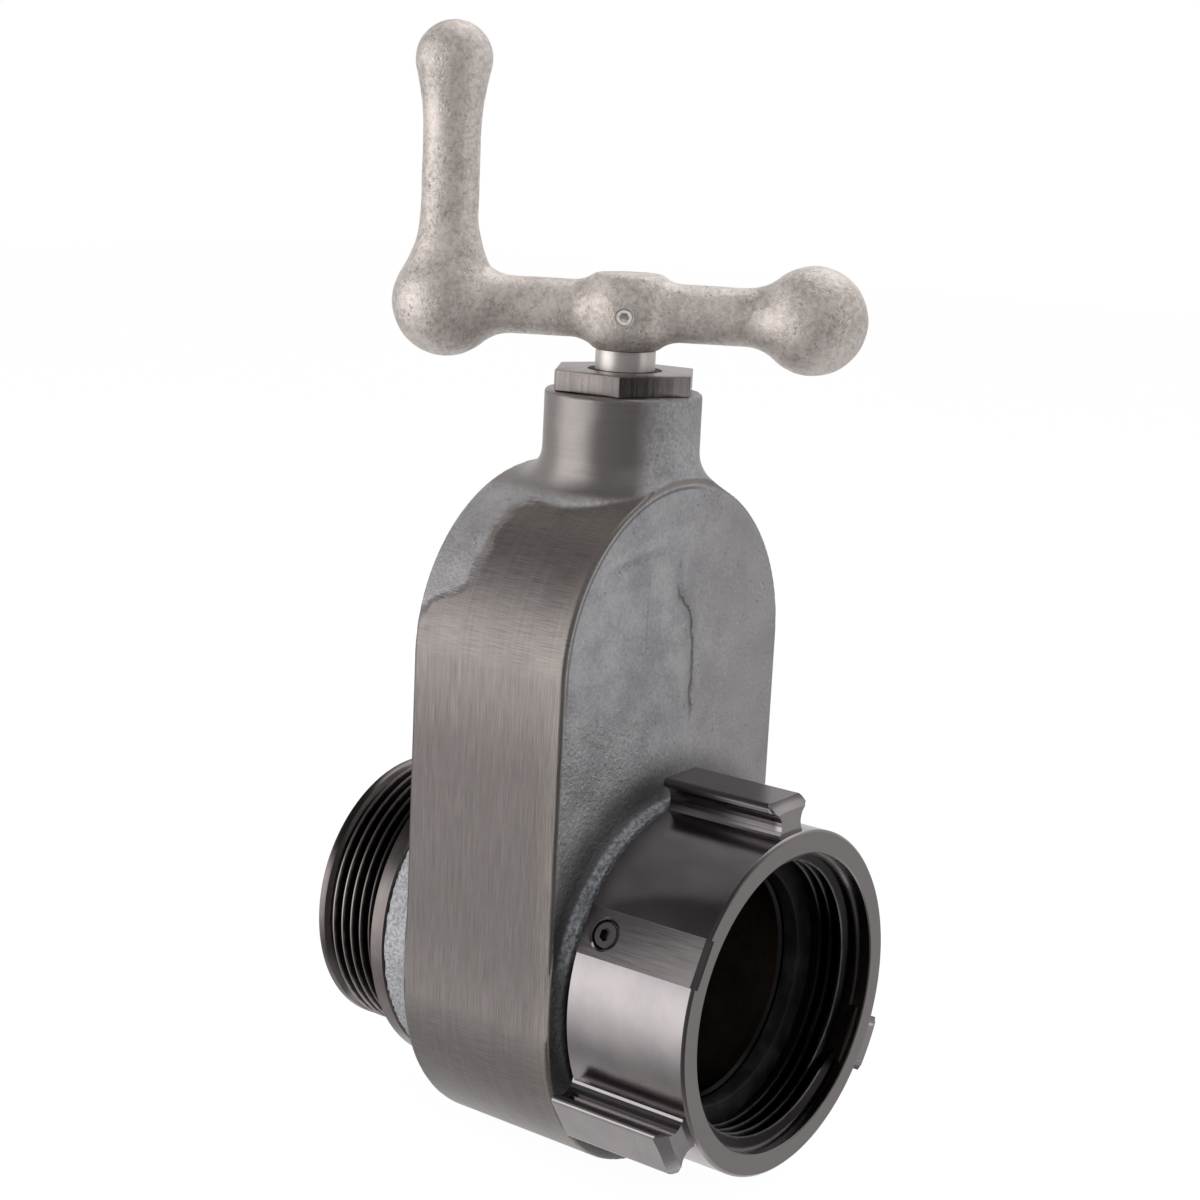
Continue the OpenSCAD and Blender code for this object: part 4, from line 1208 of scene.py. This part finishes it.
class Coupling(SubAssembly):
    """Swivel ring, its thread, plug, balls and gasket."""

    sizes = CouplingSizes()

    def ring(self) -> bpy.types.Object:
        """Returns: the turned ring before its lugs are added."""
        s = self.sizes
        race = arc(s.race_r, s.race_y, s.ball_r + s.race_gap, -84, 84, 12)
        race = [p for p in race if p[0] > s.bore_r]
        profile = [
            (s.mouth_r, s.face + 0.3), (s.mouth_r + 0.3, s.face), (s.ring_r - 0.75, s.face),
            (s.ring_r, s.face + 0.75), (s.ring_r, s.back - 0.5), (s.ring_r - 0.5, s.back),
            (s.bore_r + 0.3, s.back), (s.bore_r, s.back - 0.3), *race[::-1], (s.bore_r, s.gasket_t),
            (s.gasket_r, s.gasket_t), (s.gasket_r, 0), (s.female_r, 0),
            (s.female_r, s.face + s.mouth), (s.mouth_r, s.face + s.mouth)]
        return turned("swivel_ring_body", profile, Axis.WATERWAY, 256)

    def lug(self) -> bpy.types.Object:
        """Returns: one lug, standing up along Z."""
        s = self.sizes
        base = s.ring_r - s.lug_half
        waist = (s.ring_r + s.lug_top - s.lug_round) / 2 - 1.2
        side = math.degrees(math.acos((s.lug_waist + s.lug_flank - s.lug_half) / s.lug_flank))
        half = [(s.lug_half, base)]
        half += arc(s.lug_waist + s.lug_flank, waist, s.lug_flank, 180 + side, 180 - side, 10)
        half += arc(s.lug_half - s.lug_round, s.lug_top - s.lug_round, s.lug_round, 0, 90, 5)
        outline = half + [(-x, z) for x, z in reversed(half)]
        front = s.face + s.lug_setback
        obj = prism("rocker_lug", outline, front, s.back, UPRIGHT, 25.0)
        reach = math.hypot(s.lug_top, s.lug_half)
        cone = [(0, front), (reach - s.lug_bevel, front), (reach, front + s.lug_bevel), (reach, s.back),
                (0, s.back)]
        combine(obj, turned("lug_front", cone, Axis.WATERWAY, 256), Cut.SHARED, 25.0)
        return obj

    @staticmethod
    def turn(deg: float) -> Matrix:
        """Returns: the turn about the waterway that brings Z to that angle, from +X towards +Z."""
        return Matrix.Rotation(math.radians(90 - deg), 4, "Y")

    def on_flat(self) -> Matrix:
        """Returns: the place of what stands on the milled flat."""
        return self.turn(self.sizes.flat_deg) @ Matrix.Translation((0, self.sizes.race_y, 0))

    def build(self) -> None:
        """Makes the coupling's pieces and dresses them."""
        s, wear = self.sizes, self.wear
        obj = self.ring()
        lugs = self.lug()
        repeated(lugs, s.lugs, 90 - s.lug_deg, wear.ring)
        tidy(lugs, 25.0)
        combine(obj, lugs, Cut.JOIN, 30.0)
        for cut in (self.flat_cut(), self.plug_cut(), self.notch_cut()):
            combine(obj, cut, Cut.AWAY, 30.0)
        soften(obj, 0.22, 32.0)
        round_normals(obj, (s.ring_r, s.mouth_r, s.female_r))
        self.dress(obj, wear.ring, Body.SWIVEL, "dark_anodised", "swivel_ring")
        thread = helix("swivel_thread", s.crest_r, s.female_r, *s.thread, s.thread_deg, s.thread_w)
        self.dress(thread, wear.female, Body.SWIVEL, "dark_anodised")
        self.dress(self.plug(), wear.screw, Body.SWIVEL, "steel", "ball_plug")
        self.dress(self.gasket(), wear.rubber, Body.SWIVEL, "rubber", "hydrant_gasket")
        self.dress(self.balls(), wear.stem, Body.BALLS, "steel", "swivel_balls")

    def flat_cut(self) -> bpy.types.Object:
        """Returns: what the mill takes off the ring's side."""
        s = self.sizes
        outline = [(s.face - 2, s.flat_dist - s.flat_bevel - 2), (s.face + s.flat_bevel, s.flat_dist),
                   (s.back + 2, s.flat_dist), (s.back + 2, s.ring_r + 2), (s.face - 2, s.ring_r + 2)]
        return prism("flat_cut", outline, -s.flat_half, s.flat_half, self.turn(s.flat_deg) @ ALONG)

    def plug_cut(self) -> bpy.types.Object:
        """Returns: the hole in the flat, with its countersink."""
        s = self.sizes
        hole_r = s.plug_r + s.plug_gap
        profile = [(0, 41), (hole_r, 41), (hole_r, s.flat_dist - 0.6), (s.plug_r + 1.6, s.flat_dist + 1),
                   (0, s.flat_dist + 1)]
        obj = turned("plug_cut", profile, Axis.STEM, 64, 0.0)
        obj.data.transform(metres(self.on_flat()))
        return obj

    def notch_cut(self) -> bpy.types.Object:
        """Returns: the small notch in the front edge of the lug on the right."""
        s = self.sizes
        half = s.notch / 2
        corner = (-s.lug_half, s.face + s.lug_setback, s.lug_top - s.lug_round - s.lug_bevel / 2)
        place = self.turn(s.lug_deg + 360 / s.lugs) @ Matrix.Translation(corner)
        place @= Matrix.Rotation(math.radians(45), 4, "Y")
        outline = [(-half, -2 * half), (half, -2 * half), (half, 2 * half), (-half, 2 * half)]
        return prism("notch_cut", outline, -half, half, place)

    def plug(self) -> bpy.types.Object:
        """Returns: the socket plug in the milled flat."""
        s = self.sizes
        top = s.plug_h
        profile = [(0, 0), (s.plug_r, 0), (s.plug_r, top - 0.8), (s.plug_r - 0.15, top - 0.55),
                   (s.plug_r - 0.55, top - 0.15), (s.plug_r - 0.75, top), (0, top)]
        obj = turned("socket_plug", profile, Axis.STEM, 64, 0.0, 25.0)
        combine(obj, prism("socket_cut", hexagon(s.plug_socket), 1.0, top + 1), Cut.AWAY, 25.0)
        obj.data.transform(metres(self.on_flat() @ Matrix.Translation((0, 0, s.plug_seat))))
        return obj

    def gasket(self) -> bpy.types.Object:
        """Returns: the rubber ring, rounded at its hole."""
        s = self.sizes
        r = 0.5
        profile = [(s.gasket_hole, r), *arc(s.gasket_hole + r, r, r, 180, 270, 3), (s.gasket_r, 0),
                   (s.gasket_r, s.gasket_t), *arc(s.gasket_hole + r, s.gasket_t - r, r, 90, 180, 3)]
        return turned("rubber_gasket", profile, smooth_deg=50.0)

    def balls(self) -> bpy.types.Object:
        """Returns: the ring of balls in the race."""
        s = self.sizes
        place = Matrix.Translation((s.race_r * MM, s.race_y * MM, 0))
        mesh = bpy.data.meshes.new("race_balls")
        bm = bmesh.new()
        bmesh.ops.create_icosphere(bm, subdivisions=3, radius=s.ball_r * MM, matrix=place)
        bm.to_mesh(mesh)
        bm.free()
        obj = shown("race_balls", mesh)
        repeated(obj, s.balls, 0.0, self.wear.stem)
        tidy(obj, 60.0)
        return obj


@dataclass(frozen=True)
class OutletSizes:
    """The outlet adapter, in mm."""

    water_r: float = 31.75
    seat_y: float = 57.6
    seat: Point = (32.9, 36.0)
    seat_depth: float = 2.0
    adapter_r: float = 40.15
    hub_y: float = 84.5
    collar_r: float = 44.3
    male_y: float = 89.75
    end_y: float = 115.05
    band_y: float = 110.75
    crest_r: float = 38.97
    root_r: float = 36.74
    thread: Point = (91.65, 109.85)
    thread_deg: float = 264.5
    thread_w: Point = (0.2, 1.42)


class Outlet(SubAssembly):
    """The male hose end."""

    sizes = OutletSizes()

    def build(self) -> None:
        """Makes the adapter and its thread and dresses them."""
        s = self.sizes
        floor = s.seat_y + s.seat_depth
        profile = [
            (s.water_r, s.seat_y), (s.seat[0], s.seat_y), (s.seat[0], floor), (s.seat[1], floor),
            (s.seat[1], s.seat_y), (s.adapter_r, s.seat_y), (s.adapter_r, s.hub_y),
            (s.collar_r - 0.5, s.hub_y), (s.collar_r, s.hub_y + 0.5),
            (s.collar_r, s.male_y - 0.6), (s.collar_r - 0.6, s.male_y),
            (s.root_r, s.male_y), (s.root_r, s.band_y), (s.crest_r - 0.1, s.band_y + 1.22),
            (s.crest_r, s.band_y + 1.4), (s.crest_r, s.end_y - 0.8), (s.crest_r - 0.8, s.end_y),
            (s.water_r + 1.6, s.end_y), (s.water_r + 0.5, s.end_y - 0.5), (s.water_r, s.end_y - 1.8)]
        adapter = turned("hose_adapter", profile, count=256)
        self.dress(adapter, self.wear.outlet, Body.FIXED, "dark_anodised", "outlet_adapter")
        thread = helix("hose_thread", s.crest_r, s.root_r, *s.thread, s.thread_deg, s.thread_w)
        self.dress(thread, self.wear.male, Body.FIXED, "dark_anodised")


class Gland(SubAssembly):
    """The gland nut, the stem and the wiper."""

    def build(self) -> None:
        """Makes the nut and dresses it, the stem and the wiper."""
        nut = self.copied("bonnet_nut", "gland_nut")
        soften(nut, 0.28, 50.0)
        self.dress(nut, self.wear.nut, Body.FIXED, "dark_anodised", "bonnet_nut")
        self.dress_nodes(self.wear.stem, "stem")
        self.dress_nodes(self.wear.rubber, "stem_wiper")

    @staticmethod
    def copied(node: str, name: str) -> bpy.types.Object:
        """Copies a CAD node's mesh and joins its flat triangles.

        Args: node: the CAD node. name: the copy's name.
        Returns: the copy."""
        obj = shown(name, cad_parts[node].data.copy())
        tidy(obj, 30.0)
        bm = bmesh.new()
        bm.from_mesh(obj.data)
        bmesh.ops.dissolve_limit(bm, angle_limit=math.radians(1.0), verts=bm.verts, edges=bm.edges)
        bm.to_mesh(obj.data)
        bm.free()
        return obj


@dataclass(frozen=True)
class CrankSizes:
    """The crank, in mm; its own X runs to the counterweight."""

    arm_z: float = 174.7
    turn_deg: float = -61.0
    arm_r: float = 7.7
    arm_fillet: float = 12.0
    hub_r: float = 13.2
    hub_fillet: float = 9.0
    hub_top: float = 9.7
    hub_foot: float = 10.1
    hub_edge: float = 0.9
    weight_reach: float = 48.35
    weight_r: float = 14.2
    elbow_reach: float = 48.5
    elbow_r: float = 14.6
    grip_r: float = 7.75
    grip_h: float = 62.3
    knob_r: float = 10.2
    grip_foot: float = 30.0
    grip_swell: float = 60.0
    spigot_r: float = 6.36
    spigot_top: float = 6.62
    screw_r: float = 2.31
    screw_foot: float = 5.6
    screw_gap: float = 0.03
    screw_deg: float = 4.0
    screw_drop: float = 0.8
    screw_socket: float = 2.4
    socket_depth: float = 2.3
    mouth_reach: float = 12.55
    mouth_bevel: float = 0.9
    cell: float = 0.75


class Crank(SubAssembly):
    """The cast crank handle and its set screw."""

    sizes = CrankSizes()

    @staticmethod
    def swell(t: np.ndarray, r: float, ball: float, fillet: float) -> np.ndarray:
        """Radius of a shank that swells into a ball.

        Args: t: distance from the ball's middle. r, ball: radii. fillet: radius of the fillet.
        Returns: the radius at t."""
        t = np.abs(t)
        run = math.sqrt((ball + fillet) ** 2 - (r + fillet) ** 2)
        meet = run * ball / (ball + fillet)
        on_ball = np.sqrt(np.maximum(ball ** 2 - t ** 2, 0.0))
        on_fillet = r + fillet - np.sqrt(np.maximum(fillet ** 2 - (run - t) ** 2, 0.0))
        return np.where(t < meet, on_ball, np.where(t < run, on_fillet, r))

    def field(self, x: np.ndarray, y: np.ndarray, z: np.ndarray) -> np.ndarray:
        """The outside of the crank.

        Args: x, y, z: mm.
        Returns: the distance to it."""
        s = self.sizes
        c, n = math.cos(math.radians(s.turn_deg)), math.sin(math.radians(s.turn_deg))
        u = x * c + (y - STEM_Y) * n
        v = -x * n + (y - STEM_Y) * c
        w = z - s.arm_z
        # a swelling shank's wall leans, so its distance is a little less than straight across
        lean = 0.93
        reach = np.maximum(self.swell(u - s.weight_reach, s.arm_r, s.weight_r, s.arm_fillet),
                           self.swell(u + s.elbow_reach, s.arm_r, s.elbow_r, s.arm_fillet))
        reach = np.maximum(reach, self.swell(u, s.arm_r, s.hub_r, s.hub_fillet))
        ends = np.maximum(u - s.weight_reach, -s.elbow_reach - u)
        arms = np.maximum(np.hypot(v, w) - reach, ends) * lean
        grip_r = np.maximum(self.swell(w - s.grip_h, s.grip_r, s.knob_r, s.grip_swell),
                            self.swell(w, s.grip_r, s.elbow_r, s.grip_foot))
        grip = np.hypot(u + s.elbow_reach, v) - grip_r
        grip = np.maximum(grip, np.maximum(w - s.grip_h, -w)) * lean
        # the fillet between arm and grip starts beyond the elbow's ball
        elbow, knob, weight = (
            np.sqrt((u - at) ** 2 + v ** 2 + (w - height) ** 2) - r for at, height, r in (
                (-s.elbow_reach, 0, s.elbow_r), (-s.elbow_reach, s.grip_h, s.knob_r),
                (s.weight_reach, 0, s.weight_r)))
        d = soft_min(arms, grip, 1.5 * np.clip(elbow / 5.0, 0.02, 1.0))
        d = np.minimum(np.minimum(d, weight), np.minimum(elbow, knob))
        near = np.hypot(u, v) < s.hub_r + 2
        flat = np.maximum(w - s.hub_top, -s.hub_foot - w)
        d = np.where(near, -soft_min(-d, -flat, s.hub_edge), d)
        rough = lumps(x, y, z, 5.5, 11) * 0.2 + lumps(x, y, z, 2.1, 12) * 0.07
        return d + rough * (1 - near * share(flat, -1.2, 0.0))

    def build(self) -> None:
        """Makes the crank and its screw and dresses them."""
        s = self.sizes
        lo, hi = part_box("crank_handle")
        corner = [tuple(c / MM + pad for c in v) for v, pad in ((lo, -2.5), (hi, 2.5))]
        obj = Skin(self.field, *corner, s.cell).build("cast_crank")
        top = s.arm_z + s.spigot_top
        bore = [(0, 150), (s.spigot_r, 150), (s.spigot_r, top), (0, top)]
        combine(obj, turned("spigot_cut", bore, Axis.STEM, 96), Cut.AWAY, 50.0)
        place = Matrix.Translation((0, STEM_Y, s.arm_z)) @ Matrix.Rotation(math.radians(s.turn_deg), 4, "Z")
        place @= Matrix.Translation((0, 0, -s.screw_drop))
        place @= Matrix.Rotation(math.radians(s.screw_deg), 4, "Z")
        place @= Matrix.Rotation(math.radians(90), 4, "X")
        wide, mouth_end = s.screw_r + s.mouth_bevel, s.mouth_reach + s.mouth_bevel
        mouth = [(0, 3), (s.screw_r, 3), (s.screw_r, s.mouth_reach), (wide, mouth_end), (wide, 15), (0, 15)]
        hole = turned("screw_cut", mouth, Axis.STEM, 48, 0.0)
        hole.data.transform(metres(place))
        combine(obj, hole, Cut.AWAY, 50.0)
        self.dress(obj, self.wear.crank, Body.CRANK, "cast_handle", "crank_handle")
        self.dress(self.screw(place), self.wear.set_screw, Body.CRANK, "steel", "handle_set_screw")

    def screw(self, place: Matrix) -> bpy.types.Object:
        """Makes the socket set screw.

        Args: place: where its axis lies, in mm.
        Returns: the screw."""
        s = self.sizes
        end, wall = s.hub_r - s.mouth_bevel, s.screw_r - s.screw_gap
        profile = [(0, s.screw_foot), (wall, s.screw_foot), (wall, end - 0.5), (s.screw_r - 0.45, end),
                   (0, end)]
        obj = turned("set_screw", profile, Axis.STEM, 48, 0.0, 25.0)
        socket = prism("hex_cut", hexagon(s.screw_socket), end - s.socket_depth, end + 1)
        combine(obj, socket, Cut.AWAY, 25.0)
        obj.data.transform(metres(place))
        return obj


class Inside(SubAssembly):
    """What the body holds, shown as the CAD has it."""

    def build(self) -> None:
        """Dresses the hidden nodes."""
        wear = self.wear
        self.dress_nodes(wear.film, "tailpiece")
        self.dress_nodes(wear.rubber, "tailpiece_seal", "inlet_seat", "adapter_seal", "outlet_seat",
                         "bonnet_seal", "lower_stem_seal", "upper_stem_seal")
        self.dress_nodes(wear.bronze, "gate", "gate_nut", "lower_thrust_washer", "upper_thrust_washer")
        self.dress_nodes(wear.screw, "gate_nut_screw")


# Studio


@dataclass(frozen=True)
class CameraFit:
    """The photo's camera, fitted to the outlines of both threads, the ring and the body.

    The place is in mm and the angles in degrees; the rest is in the photo's pixels."""

    azimuth: float = -50.648
    elevation: float = 12.768
    roll: float = 2.344
    focal: float = 2377.0
    middle: Point = (517.22, 639.17)
    at: Triple = (-499.55, -331.84, 227.21)
    width: float = 1200.0
    sensor: float = 36.0


@dataclass(frozen=True)
class Lamp:
    """One soft lamp: where it stands and what it looks at in metres, its size and its power."""

    name: str
    at: Triple
    to: Triple
    size: Point
    power: float
    colour: Colour = (1, 1, 1)


class Studio:
    """Camera, world, floor and lamps."""

    fit = CameraFit()
    lamps = (
        Lamp("key_lamp", (-0.65, -0.55, 0.9), (0, 0.03, 0.06), (0.6, 0.6), 10.5),
        Lamp("right_lamp", (0.9, -0.75, 0.45), (0, 0.03, 0.06), (0.7, 0.9), 8.5, (0.98, 0.99, 1.0)),
        Lamp("rear_lamp", (-0.8, 0.7, 0.4), (0, 0.03, 0.1), (0.5, 0.8), 8.0, (1.0, 0.98, 0.96)),
    )
    photo_way = (-0.766, -0.643)
    soft_box_way = (0.543, 0.047, 0.839)
    floor_z = -55.6
    floor_half = 3000.0

    def camera(self) -> None:
        """Places the camera."""
        f = self.fit
        az, el, roll = (math.radians(a) for a in (f.azimuth, f.elevation, f.roll))
        back = Vector((math.sin(az) * math.cos(el), -math.cos(az) * math.cos(el), math.sin(el)))
        right = Vector((math.cos(az), math.sin(az), 0))
        up = back.cross(right)
        across = right * math.cos(roll) + up * math.sin(roll)
        over = up * math.cos(roll) - right * math.sin(roll)
        data = bpy.data.cameras.new("photo_camera")
        data.sensor_width = f.sensor
        data.lens = f.sensor * f.focal / f.width
        data.shift_x = (f.width / 2 - f.middle[0]) / f.width
        data.shift_y = (f.middle[1] - f.width / 2) / f.width
        data.clip_start, data.clip_end = 0.01, 50
        cam = bpy.data.objects.new("photo_camera", data)
        turn = Matrix((across, over, back)).transposed().to_4x4()
        cam.matrix_world = Matrix.Translation(Vector(f.at) * MM) @ turn
        bpy.context.scene.collection.objects.link(cam)
        bpy.context.scene.camera = cam

    def world(self) -> None:
        """A white backdrop for the camera and a soft studio for everything else."""
        s = Shader("studio_world", True)
        x, y, z = s.parts(Val(s, s.node("ShaderNodeTexCoord").outputs["Generated"]))
        # turn in degrees from the photo's own side: left is below 0, the far side is 180
        to_x, to_y = self.photo_way
        turn = s.maths("ARCTAN2", x * -to_y + y * to_x, x * to_x + y * to_y) * (180.0 / math.pi)
        left = turn.step(-114.0, -94.0) * turn.fall(-66.0, -34.0) * (z.step(-0.85, 0.0) * z.fall(0.12, 0.55))
        right = turn.step(53.0, 64.0) * turn.fall(72.0, 98.0) * z.fall(0.3, 0.8)
        far = abs(turn).step(82.0, 99.0) * (0.42 + abs(turn).step(138.0, 168.0) * 0.3) * z.fall(0.35, 0.75)
        near = abs(turn).fall(22.0, 48.0) * 0.06
        below = (0.0 - z).step(0.6, 0.88) * 0.2
        over = sum(part * way for part, way in zip((x, y, z), self.soft_box_way)).step(0.8, 0.95)
        level = 0.045 + left * 1.5 + right * 0.85 + (1.0 - left) * far + over * 1.3 + below + near
        seen = Val(s, s.node("ShaderNodeLightPath").outputs["Is Camera Ray"])
        colour = s.blend(seen, s.vector(level, level, level), (1.0, 1.0, 1.0))
        shade = s.node("ShaderNodeBackground", None, {"Color": colour, "Strength": 1.0})
        bpy.context.scene.world = s.close(shade, "ShaderNodeOutputWorld")

    def floor(self) -> None:
        """A pale floor that keeps the valve's shadow."""
        size, z = self.floor_half, self.floor_z
        corner = [(-size, -size, z), (size, -size, z), (size, size, z), (-size, size, z)]
        obj = obj_from("studio_floor", corner, [(0, 1, 2, 3)])
        s = Shader("floor_finish")
        path = s.node("ShaderNodeLightPath")
        dull = s.node("ShaderNodeBsdfDiffuse", None, {"Color": (0.5, 0.5, 0.5)})
        glow = s.node("ShaderNodeEmission", None, {"Color": (1.0, 1.0, 1.0), "Strength": 1.08})
        seen = Val(s, path.outputs["Is Camera Ray"]) * 0.9
        mix = s.node("ShaderNodeMixShader", None, {0: seen, 1: dull.outputs[0], 2: glow.outputs[0]})
        # mirrors look through the floor, at the studio
        clear = s.node("ShaderNodeBsdfTransparent")
        glossy = path.outputs["Is Glossy Ray"]
        both = s.node("ShaderNodeMixShader", None, {0: glossy, 1: mix.outputs[0], 2: clear.outputs[0]})
        obj.data.materials.append(s.close(both))

    def light(self) -> None:
        """Sets up the lamps."""
        for lamp in self.lamps:
            data = bpy.data.lights.new(lamp.name, "AREA")
            data.shape, data.size, data.size_y = "RECTANGLE", *lamp.size
            data.energy, data.color = lamp.power, lamp.colour
            obj = bpy.data.objects.new(lamp.name, data)
            way = Vector(lamp.to) - Vector(lamp.at)
            obj.location = lamp.at
            obj.visible_glossy = False
            obj.rotation_euler = way.to_track_quat("-Z", "Y").to_euler()
            bpy.context.scene.collection.objects.link(obj)

    def build(self) -> None:
        """Makes everything round the valve but the floor, which is staged last."""
        self.camera()
        self.world()
        self.light()
        bpy.context.scene.view_settings.view_transform = "Standard"


def main() -> None:
    """Builds and dresses the whole valve."""
    logging.basicConfig(level=logging.INFO, format="%(name)s %(message)s")
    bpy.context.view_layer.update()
    studio = Studio()
    studio.build()
    finishes = Finishes()
    for part in (Casting, Coupling, Outlet, Gland, Crank, Inside):
        part(finishes).build()
    studio.floor()
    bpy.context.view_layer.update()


if __name__ == "__main__":
    main()
